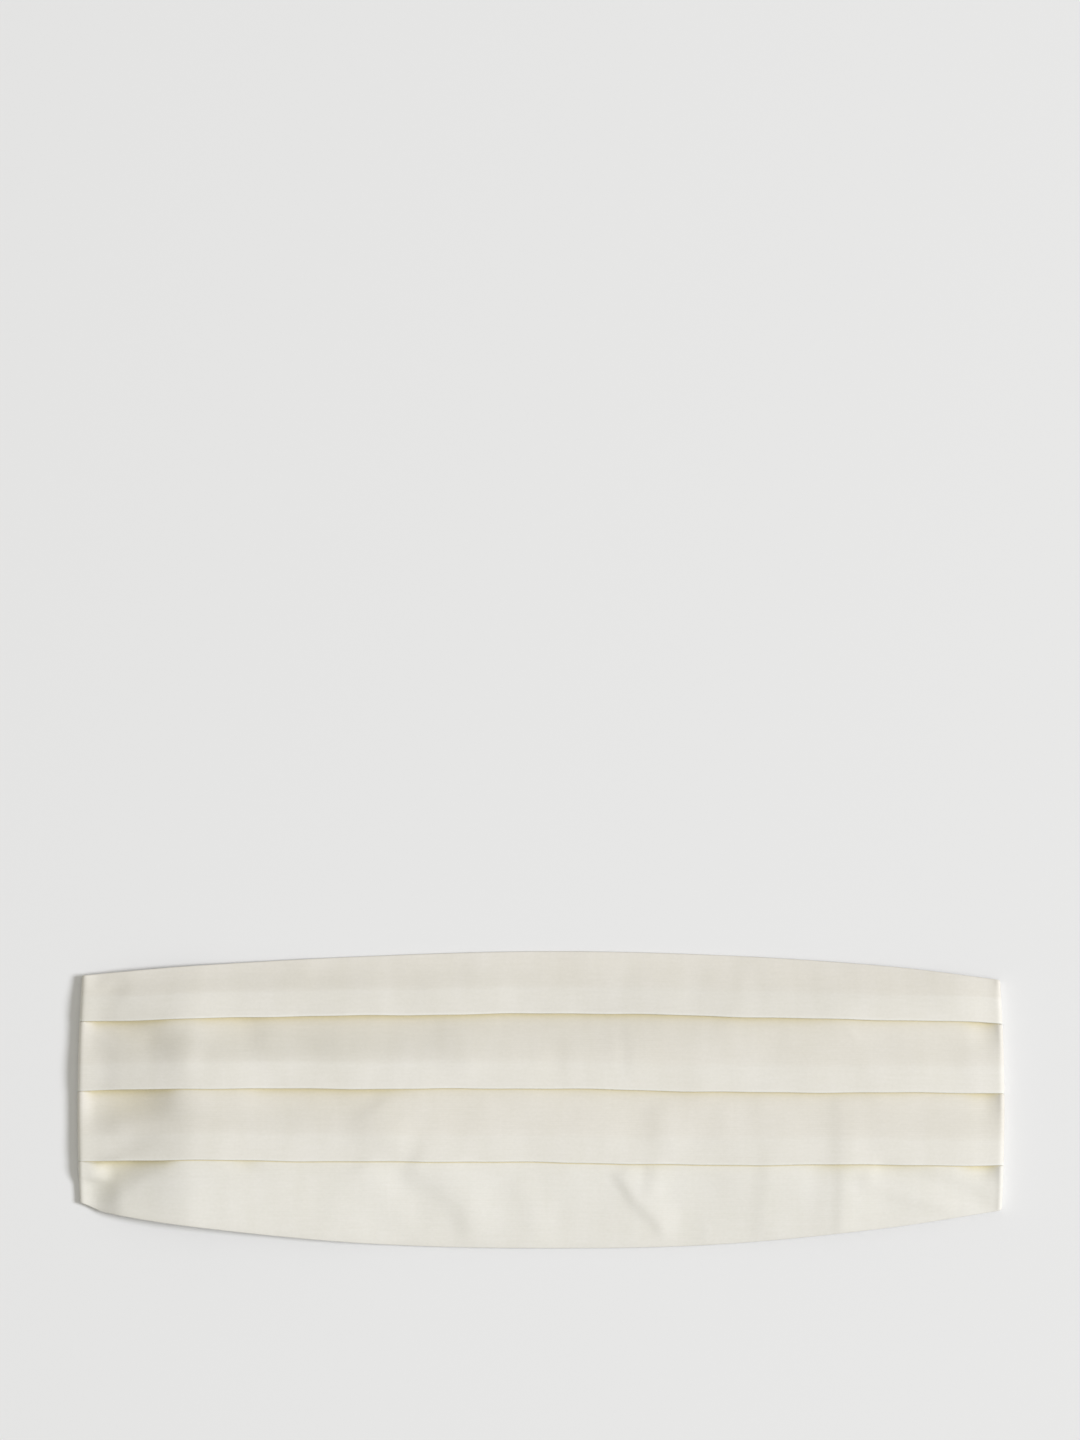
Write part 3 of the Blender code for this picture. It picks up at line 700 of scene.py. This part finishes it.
def on_path(station, y, rise, back=0.0):
    """Points at a rise over the cloth's inner face: on the front, an end fold or a turned end."""
    side = np.where(station > 0, 1, -1)
    start, length = turn_start(station, back), turn_length(station, back)
    past = np.abs(station) - start
    angle = math.pi * np.clip(past / length, 0, 1)
    reach = HALF_LENGTH - start - STACK + rise
    power = at_side(ROLL, station)
    sine, cosine = np.sin(angle) ** power, np.abs(np.cos(angle)) ** power * np.sign(np.cos(angle))
    top = base_height(np.clip(station, -turn_start(-1, back), turn_start(1, back)), y) + rise
    bottom = STACK - rise
    x = np.where(past <= 0, np.abs(station), start + reach * sine)
    x = np.where(past >= length, start + length - past, x)
    z = np.where(past <= 0, top, (top + bottom) / 2 + (top - bottom) / 2 * cosine)
    z = np.where(past >= length, bottom, z)
    return bowed(side * x, y, z)


def pressed(station):
    """0 on the front, and 1 from the outermost line of an end fold on, where the face is flat."""
    early = at_side(PRESS_REACH, station)
    return ease((np.abs(station) - turn_start(station) + early) / (turn_length(station) / 2 + early))


def hem(edge, inward, band):
    """From the hem's raw edge, under the cloth, to the long edge and round on to its face."""
    places = []
    for i in range(HEM_STEPS):
        y = edge + inward * (HEM + (PLY_TURN + SILK / 2 - HEM) * i / HEM_STEPS)
        places.append((y, band - PLY))
    for i in range(ROUND_STEPS):
        angle = math.pi * (i / (ROUND_STEPS - 1) - 0.5)
        y = edge + inward * (SILK / 2 + PLY_TURN - PLY_TURN * math.cos(angle))
        places.append((y, band - PLY_TURN + PLY_TURN * math.sin(angle)))
    return places


def silk_section(station):
    """The silk's middle at each station, from the upper hem to the lower one: its y and rise,
    how much of the look of three plies it has, with painted light past that, how much painted shade
    it has from a pleat's edge or from sinking, and how much darker it is, which in the lowest band's
    left corner is painted shade."""
    upper, *edges, lower = lines_at(station)
    flat = pressed(station)
    lap = LAP * np.minimum(1.0, (edges[0] - edges[2]) / 2 / FULL_BAND)
    # Rises of a pleat's lowest ply, of its top ply, and of a band, which comes up at the ends
    under = SILK / 2
    top = under + 2 * PLY
    band = under + 2 * PLY * flat
    band_darkness = [value / MM * (1 - flat) for value in curve_through(BAND_DARKER, station)]
    step_start = STEP_START * (1 - (1 - STEP_CLOSED) * flat)
    step_length = STEP_LENGTH * (1 - (1 - STEP_CLOSED) * flat)
    points = []

    def add(y, rise, plies=0.0, shade=0.0, darker_and_painted_shade=0.0):
        points.append(np.broadcast_arrays(y, rise, plies, shade, darker_and_painted_shade, station)[:5])

    def below_edge(pleat, y, share):
        """Rise and shade of a band that comes out from under a pleat's edge."""
        down = above - y
        sunk = sink(pleat, station, y, share)
        low = under + (band - under) * ease(down / step_length) - sunk
        shade = np.clip(np.exp(-down / SHADE_REACH) * edge_shade + sunk / SHADE_SINK, 0, 1)
        return low, shade

    for y, rise in hem(upper, -1, band):
        add(y, rise)
    above = upper - SILK / 2 - PLY_TURN
    for pleat, edge in enumerate(edges):
        plateau = edge + lap + RAMP_START
        opening = mouths(station)[pleat]
        if pleat == 2:
            opening = sink(2, station, edge, 0.0)
        lift = NOSE_LIFT * np.minimum(opening, NOSE_OPENING)
        for i in range(1, BAND_STEPS + 1):
            share = (i / BAND_STEPS) ** BAND_CROWDING
            y = above + (plateau - above) * share
            low, shade = band, 0.0
            if pleat:
                low, shade = below_edge(pleat - 1, y, share / SINK_SHARE)
            darker_and_painted_shade = band_darkness[pleat] * BAND_DARKER_RISE * share**2 * (1 - share)
            add(y, low + (top - band) * share, share**PALE_POWER, shade, darker_and_painted_shade)
        nose = edge + SILK / 2 + PLY_TURN
        # The plateau's last point and the front of the nose round the edge carry a painted highlight.
        for i in range(1, PLATEAU_STEPS + 1):
            share = 1 - (1 - i / PLATEAU_STEPS) ** PLATEAU_CROWDING
            look = EDGE_PAINTED_HIGHLIGHT if i == PLATEAU_STEPS else 1.0
            add(plateau + (nose - plateau) * share, top + lift * share**2, look)
        for i in range(1, ROUND_STEPS):
            angle = math.pi * i / (ROUND_STEPS - 1)
            look = EDGE_PAINTED_HIGHLIGHT if angle < math.pi * EDGE_PAINTED_HIGHLIGHT_TURN else 1.0
            rise = top + lift - PLY_TURN + PLY_TURN * math.cos(angle)
            add(nose - PLY_TURN * math.sin(angle), rise, look)
        inner = edge + lap - SILK / 2 - PLY_TURN
        for i in range(1, HIDDEN_STEPS + 1):
            share = i / HIDDEN_STEPS
            add(nose + (inner - nose) * share, top - PLY + lift * (1 - share) ** 2, 0.0, 1.0)
        for i in range(1, ROUND_STEPS):
            angle = math.pi * i / (ROUND_STEPS - 1)
            rise = under + PLY_TURN + PLY_TURN * math.cos(angle)
            add(inner + PLY_TURN * math.sin(angle), rise, 0.0, 1.0)
        for i in range(1, HIDDEN_STEPS + 1):
            share = i / HIDDEN_STEPS
            y = inner + (edge - step_start - inner) * share
            add(y, under - opening * share**2, 0.0, 1.0)
        above = edge - step_start
        edge_shade = np.clip(opening / SHADE_OPENING, SHADE_LEAST, 1) * (1 - flat)
    # The lowest band and its hem are paler all over: painted light.
    ending = hem(lower, 1, band)[::-1]
    for i in range(1, LOWEST_BAND_STEPS):
        share = (i / LOWEST_BAND_STEPS) ** BAND_CROWDING
        y = above + (ending[0][0] - above) * share
        low, shade = below_edge(2, y, (above - y) / LOOSE_SINK)
        # Painted shade darkens the lowest band towards its sunk left corner, less on the knuckle.
        darker_and_painted_shade = corner_sink(station, y) / CORNER_SINK * at_end(station) * (1 - flat)
        darker_and_painted_shade = darker_and_painted_shade * (1 - knuckle(station, y) / KNUCKLE_HEIGHT)
        add(y, low, LOOSE_PAINTED_LIGHT, shade, darker_and_painted_shade)
    for y, rise in ending:
        add(y, rise - sink(2, station, y, 1.0), LOOSE_PAINTED_LIGHT)
    return [np.stack([point[i] for point in points], 1) for i in range(5)]


def sunk_below(station, y):
    """How far the silk has sunk at its deepest there, for the lining to lie under it."""
    _, *edges, _ = lines_at(station)
    deepest = np.zeros(y.shape)
    for pleat, edge in enumerate(edges):
        following = edges[pleat + 1] + LAP if pleat < 2 else edge - LOOSE_SINK
        share = np.clip((edge - y) / (edge - following), 0, 1) / SINK_SHARE
        here = sink(pleat, station, np.minimum(y, edge), share)
        here = np.where(y < edge - LOOSE_REACH, 0.0, here) * (1 - np.clip((y - edge) / LAP, 0, 1))
        deepest = np.maximum(deepest, here)
    return deepest


def front_over(station, y):
    """Height of the front's lowest face at each station, or over it where the end is turned."""
    past = np.abs(station) - turn_start(station, LINING_BACK)
    length = turn_length(station, LINING_BACK)
    inward = np.abs(station) - past - np.maximum(past - length, 0.0)
    place = np.where(past > 0, np.sign(station) * inward, station)
    return base_height(place, y) - sunk_below(place, y)


def lining_section(station):
    """Y and rise of the lining's middle at each station."""
    upper, *_, lower = lines_at(station)
    share = np.linspace(0, 1, LINING_COLUMNS)[None, :]
    rim, flat, drawn_in = LINING_CORNER
    start = upper - LINING_INSET
    end = lower + LINING_INSET + drawn_in * ease((rim - station) / (rim - flat))
    y = start[:, None] + (end - start)[:, None] * share
    sunk = sunk_below(station[:, None] + 0 * y, y)
    room = (front_over(station[:, None] + 0 * y, y) - STACK - LINING - 2 * SEAM_CLEARANCE) / 2
    rise = -np.clip(room, *LINING_DEPTH) - sunk
    to_tip = at_side({side: abs(tip_station(side, LINING_BACK)) for side in (-1, 1)}, station)
    to_tip = (to_tip - np.abs(station))[:, None]
    pinched = -SEAM_CLEARANCE - LINING / 2
    over_strap = pinched - STRAP - SEAM_CLEARANCE
    outside, over = LINING_OVER_STRAP
    on_strap = ease((STRAP_HALF + outside - np.abs(y)) / over)
    outside, over = LINING_PAST_STRAP
    on_strap = on_strap * ease((STRAP_IN_SEAM + outside - to_tip) / over)
    rise = rise + (pinched - rise) * ease(1 - to_tip / LINING_SEAM) * (1 - on_strap)
    return y, rise + (np.minimum(over_strap, rise) - rise) * on_strap


def stations(step, back=0.0):
    """Stations from the left tip to the right one, even on the front and denser in the folds."""
    parts = []
    for side in (-1, 1):
        start, length = float(turn_start(side, back)), float(turn_length(side, back))
        turned = start + length * np.arange(1, TURN_STEPS + 1) / TURN_STEPS
        share = np.arange(1, END_STEPS + 1) / END_STEPS
        ends = turned[-1] + (tip_station(side, back) - turned[-1]) * share**END_CROWDING
        parts.append(side * np.concatenate([turned, ends]))
    first, last = -float(turn_start(-1, back)), float(turn_start(1, back))
    front = np.linspace(first, last, round((last - first) / step) + 1)
    return np.concatenate([parts[0][::-1], front, parts[1]])


# ---------------------------------------------------------------------------------------------
# Making the pieces


def finish_piece(piece, material, nodes):
    piece.data.materials.clear()
    piece.data.materials.append(material)
    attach(piece, BODY)
    if nodes:
        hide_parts(*nodes)


def apply_modifier(piece, kind, **settings):
    modifier = piece.modifiers.new(kind.title(), kind)
    for name, value in settings.items():
        setattr(modifier, name, value)
    bpy.ops.object.select_all(action="DESELECT")
    piece.select_set(True)
    bpy.context.view_layer.objects.active = piece
    bpy.ops.object.modifier_apply(modifier=modifier.name)


def cloth_piece(name, places, flat, thickness, looks=None):
    """A cloth sheet through a grid of places, with its wall. flat holds each place's measures
    along and across the cloth laid flat, and looks holds values that the material reads."""
    rows, columns = places.shape[:2]
    first = np.arange(rows - 1)[:, None] * columns + np.arange(columns - 1)[None, :]
    faces = np.stack([first, first + columns, first + columns + 1, first + 1], -1).reshape(-1, 4)
    mesh = bpy.data.meshes.new(name)
    mesh.from_pydata(places.reshape(-1, 3).tolist(), [], faces.tolist())
    layer = mesh.uv_layers.new(name="cloth")
    corners = np.empty(len(mesh.loops), dtype=np.int32)
    mesh.loops.foreach_get("vertex_index", corners)
    layer.data.foreach_set("uv", flat.reshape(-1, 2)[corners].ravel())
    for look, values in (looks or {}).items():
        mesh.attributes.new(look, "FLOAT", "POINT").data.foreach_set("value", values.ravel())
    piece = bpy.data.objects.new(name, mesh)
    bpy.context.scene.collection.objects.link(piece)
    apply_modifier(piece, "SOLIDIFY", thickness=thickness, offset=0.0)
    piece.data.shade_smooth()
    return piece


def garment_sheet(name, station, y, rise, thickness, back=0.0, looks=None):
    """A sheet of the front and its turned ends, from its section at each station."""
    places = on_path(station[:, None] + 0 * y, y, rise, back)
    across = np.linalg.norm(np.diff(np.stack([y, rise], -1), axis=1), axis=-1)
    across = np.concatenate([0 * y[:, :1], np.cumsum(across, axis=1)], axis=1)
    across = across - across.mean(axis=1, keepdims=True)
    flat = np.stack([station[:, None] + 0 * y, across], -1)
    return cloth_piece(name, places, flat, thickness, looks)


def make_silk(material):
    station = stations(FRONT_STEP)
    y, rise, plies, shade, darker_and_painted_shade = silk_section(station)
    looks = {"plies": plies, "shade": shade, "darker_and_painted_shade": darker_and_painted_shade}
    piece = garment_sheet("silk_front", station, y, rise, SILK, looks=looks)
    finish_piece(piece, material, ["pleated_front"])


def make_lining(material):
    station = stations(LINING_STEP, LINING_BACK)
    y, rise = lining_section(station)
    piece = garment_sheet("lining", station, y, rise, LINING, LINING_BACK)
    finish_piece(piece, material, ["hidden_layers"])


def strap_line():
    """The right strap's middle in X and Z: from inside the seam, down on to the surface, up round
    the clasp's bar and back as a tail."""
    in_seam = STACK + SEAM_CLEARANCE + STRAP / 2
    seam_end = TIP_X - SEAM_RISE
    x = np.arange(TIP_X + STRAP_IN_SEAM, STRAP_TURN_X, -STRAP_STEP)
    z = STRAP_RUN + (in_seam - STRAP_RUN) * ease((x - seam_end) / SEAM_RISE)
    angle = np.linspace(0, math.pi, STRAP_TURN_STEPS + 1)
    turn_x = STRAP_TURN_X - STRAP_TURN * np.sin(angle)
    turn_z = STRAP_RUN + STRAP_TURN * (1 - np.cos(angle))
    bar = STRAP_TURN_X + BAR
    tail_x = np.linspace(bar, bar + TAIL_LENGTH, TAIL_STEPS + 1)
    over_bar = STRAP_RUN + 2 * STRAP_TURN
    tail_z = over_bar + (TAIL_RISE - over_bar) * ease((tail_x - bar) / TAIL_SLOPE)
    return np.concatenate([x, turn_x, tail_x]), np.concatenate([z, turn_z, tail_z])


def make_strap(side, name, node, material):
    x, z = strap_line()
    y = np.linspace(-1, 1, STRAP_COLUMNS)[None, :] * (STRAP_HALF - STRAP_INSET)
    length = np.concatenate([[0], np.cumsum(np.hypot(np.diff(x), np.diff(z)))])
    y, x, z, length = np.broadcast_arrays(y, x[:, None], z[:, None], length[:, None])
    places = np.stack([side * x, y, z], -1)
    piece = cloth_piece(name, places, np.stack([length, y], -1), STRAP)
    finish_piece(piece, material, [node])


def edit_edges(piece, wanted):
    """Starts editing a piece with only the wanted ones of its edges selected."""
    bpy.ops.object.mode_set(mode="EDIT")
    bpy.ops.mesh.select_mode(type="EDGE")
    bpy.ops.mesh.select_all(action="DESELECT")
    bpy.ops.object.mode_set(mode="OBJECT")
    for edge in piece.data.edges:
        edge.select = wanted(edge)
    bpy.ops.object.mode_set(mode="EDIT")


def rounded_block(name, low, high, corner):
    """A flat block between two corners of its box, its upright edges rounded."""
    bpy.ops.object.select_all(action="DESELECT")
    bpy.ops.mesh.primitive_cube_add(size=1.0, location=(0, 0, 0))
    block = bpy.context.object
    block.name = name
    low, high = Vector(low), Vector(high)
    bpy.ops.object.mode_set(mode="EDIT")
    bpy.ops.mesh.select_all(action="SELECT")
    bpy.ops.transform.resize(value=high - low)
    bpy.ops.transform.translate(value=(low + high) / 2)

    def upright(edge):
        first, second = (block.data.vertices[i].co for i in edge.vertices)
        return abs(first.z - second.z) > abs(first.x - second.x) + abs(first.y - second.y)

    edit_edges(block, upright)
    bpy.ops.mesh.bevel(offset=corner, segments=5)
    bpy.ops.object.mode_set(mode="OBJECT")
    return block


def combined(target, helper, operation):
    """Cuts helper out of target or joins it to target, and removes the helper."""
    apply_modifier(target, "BOOLEAN", operation=operation, object=helper, solver="EXACT")
    bpy.data.objects.remove(helper)


def clasp_plate(name, inner_x, side, holes):
    """A plate from its strap bar to inner_x, with its holes given as x to x and half width."""
    ends = sorted((side * PLATE_END, inner_x))
    low, high = PLATE_MIDDLE - PLATE / 2, PLATE_MIDDLE + PLATE / 2
    corners = (ends[0], -PLATE_HALF, low), (ends[1], PLATE_HALF, high)
    plate = rounded_block(name, *corners, PLATE_CORNER)
    for number, (first, second, half) in enumerate(holes):
        x_low, x_high = sorted((side * first, side * second))
        corners = (x_low, -half, low - HOLE_CUT), (x_high, half, high + HOLE_CUT)
        hole = rounded_block(f"{name}_hole_{number}", *corners, HOLE_CORNER)
        combined(plate, hole, "DIFFERENCE")
    return plate


def make_tongue():
    """A strip that runs down from the hook's plate, under the eye's end bar and up at its tip."""
    line = (
        (HOOK_END + TONGUE_ROOT, PLATE_MIDDLE),
        (HOOK_END - TONGUE_FALL[0], PLATE_MIDDLE),
        (HOOK_END - TONGUE_FALL[1], TONGUE_UNDER),
        (TONGUE_TIP + TONGUE_BEND, TONGUE_UNDER),
        (TONGUE_TIP, TONGUE_UNDER + TONGUE_BEND),
        (TONGUE_TIP, PLATE_MIDDLE + PLATE / 2),
    )
    bpy.ops.object.select_all(action="DESELECT")
    bpy.ops.mesh.primitive_plane_add(size=1.0, location=(0, 0, 0))
    tongue = bpy.context.object
    for vertex in tongue.data.vertices:
        x, z = line[0] if vertex.co.x > 0 else line[1]
        vertex.co = (x, math.copysign(TONGUE_HALF, vertex.co.y), z)
    inner = {vertex.index for vertex in tongue.data.vertices if vertex.co.x < HOOK_END}
    edit_edges(tongue, lambda edge: set(edge.vertices) == inner)
    for (x0, z0), (x1, z1) in zip(line[1:], line[2:]):
        move = {"value": (x1 - x0, 0, z1 - z0)}
        bpy.ops.mesh.extrude_region_move(TRANSFORM_OT_translate=move)
    bpy.ops.object.mode_set(mode="OBJECT")
    apply_modifier(tongue, "SOLIDIFY", thickness=PLATE, offset=0.0, use_even_offset=True)
    return tongue


def finish_metal(plate, material, node):
    """Eases the plate's edges, with normals that keep its flat faces flat to the eye."""
    apply_modifier(plate, "BEVEL", width=PLATE_EDGE, segments=2, limit_method="ANGLE")
    plate.data.shade_smooth()
    apply_modifier(plate, "WEIGHTED_NORMAL", weight=100, keep_sharp=False)
    finish_piece(plate, material, [node])


def make_clasp(material):
    slot = (*SLOT, SLOT_HALF)
    eye_holes = (slot, (*EYE_HOLE, EYE_HOLE_HALF))
    finish_metal(clasp_plate("eye_plate", -EYE_END, -1, eye_holes), material, "clasp_eye")
    hook = clasp_plate("hook_plate", HOOK_END, 1, (slot,))
    combined(hook, make_tongue(), "UNION")
    finish_metal(hook, material, "clasp_hook")


def stitch_row(start, end):
    """One row of stitches between two places, each sunk halfway into the cloth."""
    start, end = Vector(start), Vector(end)
    away = end - start
    count = max(1, round(away.length / STITCH_PITCH))
    bpy.ops.object.select_all(action="DESELECT")
    bpy.ops.mesh.primitive_uv_sphere_add(segments=6, ring_count=5, radius=0.5)
    row = bpy.context.object
    bpy.ops.object.mode_set(mode="EDIT")
    bpy.ops.mesh.select_all(action="SELECT")
    bpy.ops.transform.rotate(value=math.pi / 2, orient_axis="Y", center_override=(0, 0, 0))
    bpy.ops.transform.resize(value=STITCH, center_override=(0, 0, 0))
    bpy.ops.transform.translate(value=(away.length / count / 2, 0, 0))
    bpy.ops.object.mode_set(mode="OBJECT")
    settings = {"count": count, "use_relative_offset": False, "use_constant_offset": True}
    step = (away.length / count, 0, 0)
    apply_modifier(row, "ARRAY", **settings, constant_offset_displace=step)
    bpy.ops.object.mode_set(mode="EDIT")
    bpy.ops.mesh.select_all(action="SELECT")
    turn = -math.atan2(away.y, away.x)
    bpy.ops.transform.rotate(value=turn, orient_axis="Z", center_override=(0, 0, 0))
    bpy.ops.transform.translate(value=start)
    bpy.ops.object.mode_set(mode="OBJECT")
    return row


def make_stitches(side, name, material):
    """A box with a cross through the strap's tail, and a row across the turned end's tip."""
    near, far, half = BOX_STITCH
    inset, reach = TIP_STITCH
    tail_top = TAIL_RISE + STRAP / 2
    run_bottom = STRAP_RUN - STRAP / 2
    rows = []
    for z in (tail_top, run_bottom + STITCH_SUNK):
        corners = [(near, -half, z), (far, -half, z), (far, half, z), (near, half, z)]
        rows += list(zip(corners, corners[1:] + corners[:1]))
        rows += [(corners[0], corners[2]), (corners[1], corners[3])]
    tip, sunk = TIP_X + inset, STITCH_SUNK / 2
    rows.append(((tip, -reach, sunk), (tip, reach, sunk)))
    made = []
    for start, end in rows:
        places = [(side * x, y, z) for x, y, z in (start, end)]
        made.append(stitch_row(*places))
    bpy.ops.object.select_all(action="DESELECT")
    for row in made:
        row.select_set(True)
    bpy.context.view_layer.objects.active = made[0]
    bpy.ops.object.join()
    made[0].name = name
    made[0].data.shade_smooth()
    finish_piece(made[0], material, [])


# ---------------------------------------------------------------------------------------------
# Floor, light and camera

PHOTO = (1080, 1440)  # pixels
PHOTO_MIDDLE = (541.0, 1099.5)  # the cummerbund's middle in it
PIXEL = 0.4017 * MM  # at the cloth
LENS = 150.0  # millimetres
SENSOR = 36.0  # millimetres along the photo's longer side
FLOOR_Z = -0.05 * MM  # just clear of the cloth that lies on it
FLOOR_SIZE = 8.0
KEY_ELEVATION = 40.5  # degrees
KEY_AZIMUTH = -1.5
KEY_WIDTH = 20.0  # degrees, seen from the cloth
KEY_DISTANCE = 14.0
KEY_POWER = 1665.0  # watts
FILL_PLACE = (0.0, -0.4, 3.7)
FILL_SIZE = 3.0
FILL_POWER = 18.9
ROOM_LIGHT = 0.345
KEY_COLOUR = (0.94, 0.95, 1.0)
ROOM_COLOUR = (1.0, 0.985, 0.91)


def make_floor():
    bpy.ops.object.select_all(action="DESELECT")
    bpy.ops.mesh.primitive_plane_add(size=FLOOR_SIZE, location=(0, 0, FLOOR_Z))
    floor = bpy.context.object
    floor.name = "floor"
    floor.data.materials.append(plain_material("pale_matte_paper", "#E9E9E9", 0.9))


def area_light(name, place, size, power, colour):
    """A round light at a place, aimed at the garment's middle."""
    data = bpy.data.lights.new(name, "AREA")
    data.shape = "DISK"
    data.size = size
    data.energy = power
    data.color = colour
    light = bpy.data.objects.new(name, data)
    bpy.context.scene.collection.objects.link(light)
    light.location = place
    aim = Vector((0, 0, 0)) - Vector(place)
    light.rotation_euler = aim.to_track_quat("-Z", "Y").to_euler()


def make_light():
    elevation, azimuth = math.radians(KEY_ELEVATION), math.radians(KEY_AZIMUTH)
    key_place = (
        KEY_DISTANCE * math.cos(elevation) * math.cos(azimuth),
        KEY_DISTANCE * math.cos(elevation) * math.sin(azimuth),
        KEY_DISTANCE * math.sin(elevation),
    )
    key_size = 2 * KEY_DISTANCE * math.tan(math.radians(KEY_WIDTH / 2))
    area_light("key", key_place, key_size, KEY_POWER, KEY_COLOUR)
    area_light("fill", FILL_PLACE, FILL_SIZE, FILL_POWER, ROOM_COLOUR)
    world = bpy.data.worlds.new("studio")
    bpy.context.scene.world = world
    world.use_nodes = True
    background = world.node_tree.nodes["Background"]
    background.inputs[0].default_value = (*ROOM_COLOUR, 1.0)
    background.inputs[1].default_value = ROOM_LIGHT
    bpy.context.scene.view_settings.view_transform = "Standard"


def make_camera():
    focal = LENS / SENSOR * PHOTO[1]  # in photo pixels
    tilt = math.atan((PHOTO_MIDDLE[1] - PHOTO[1] / 2) / focal)
    height = focal * PIXEL / math.cos(tilt)
    data = bpy.data.cameras.new("camera")
    data.lens = LENS
    data.sensor_width = SENSOR
    camera = bpy.data.objects.new("camera", data)
    bpy.context.scene.collection.objects.link(camera)
    camera.location = (-(PHOTO_MIDDLE[0] - PHOTO[0] / 2) * PIXEL, 0, height)
    camera.rotation_euler = (tilt, 0, 0)
    bpy.context.scene.camera = camera


def main():
    make_camera()
    make_light()
    make_floor()
    make_silk(silk_faille())
    make_lining(satin_lining())
    webbing = ribbed_webbing()
    make_strap(-1, "webbing_left", "strap_left", webbing)
    make_strap(1, "webbing_right", "strap_right", webbing)
    make_clasp(nickel_plate())
    thread = plain_material("ivory_silk_thread", "#E4E0D2", 0.55)
    make_stitches(-1, "sewing_left", thread)
    make_stitches(1, "sewing_right", thread)


main()
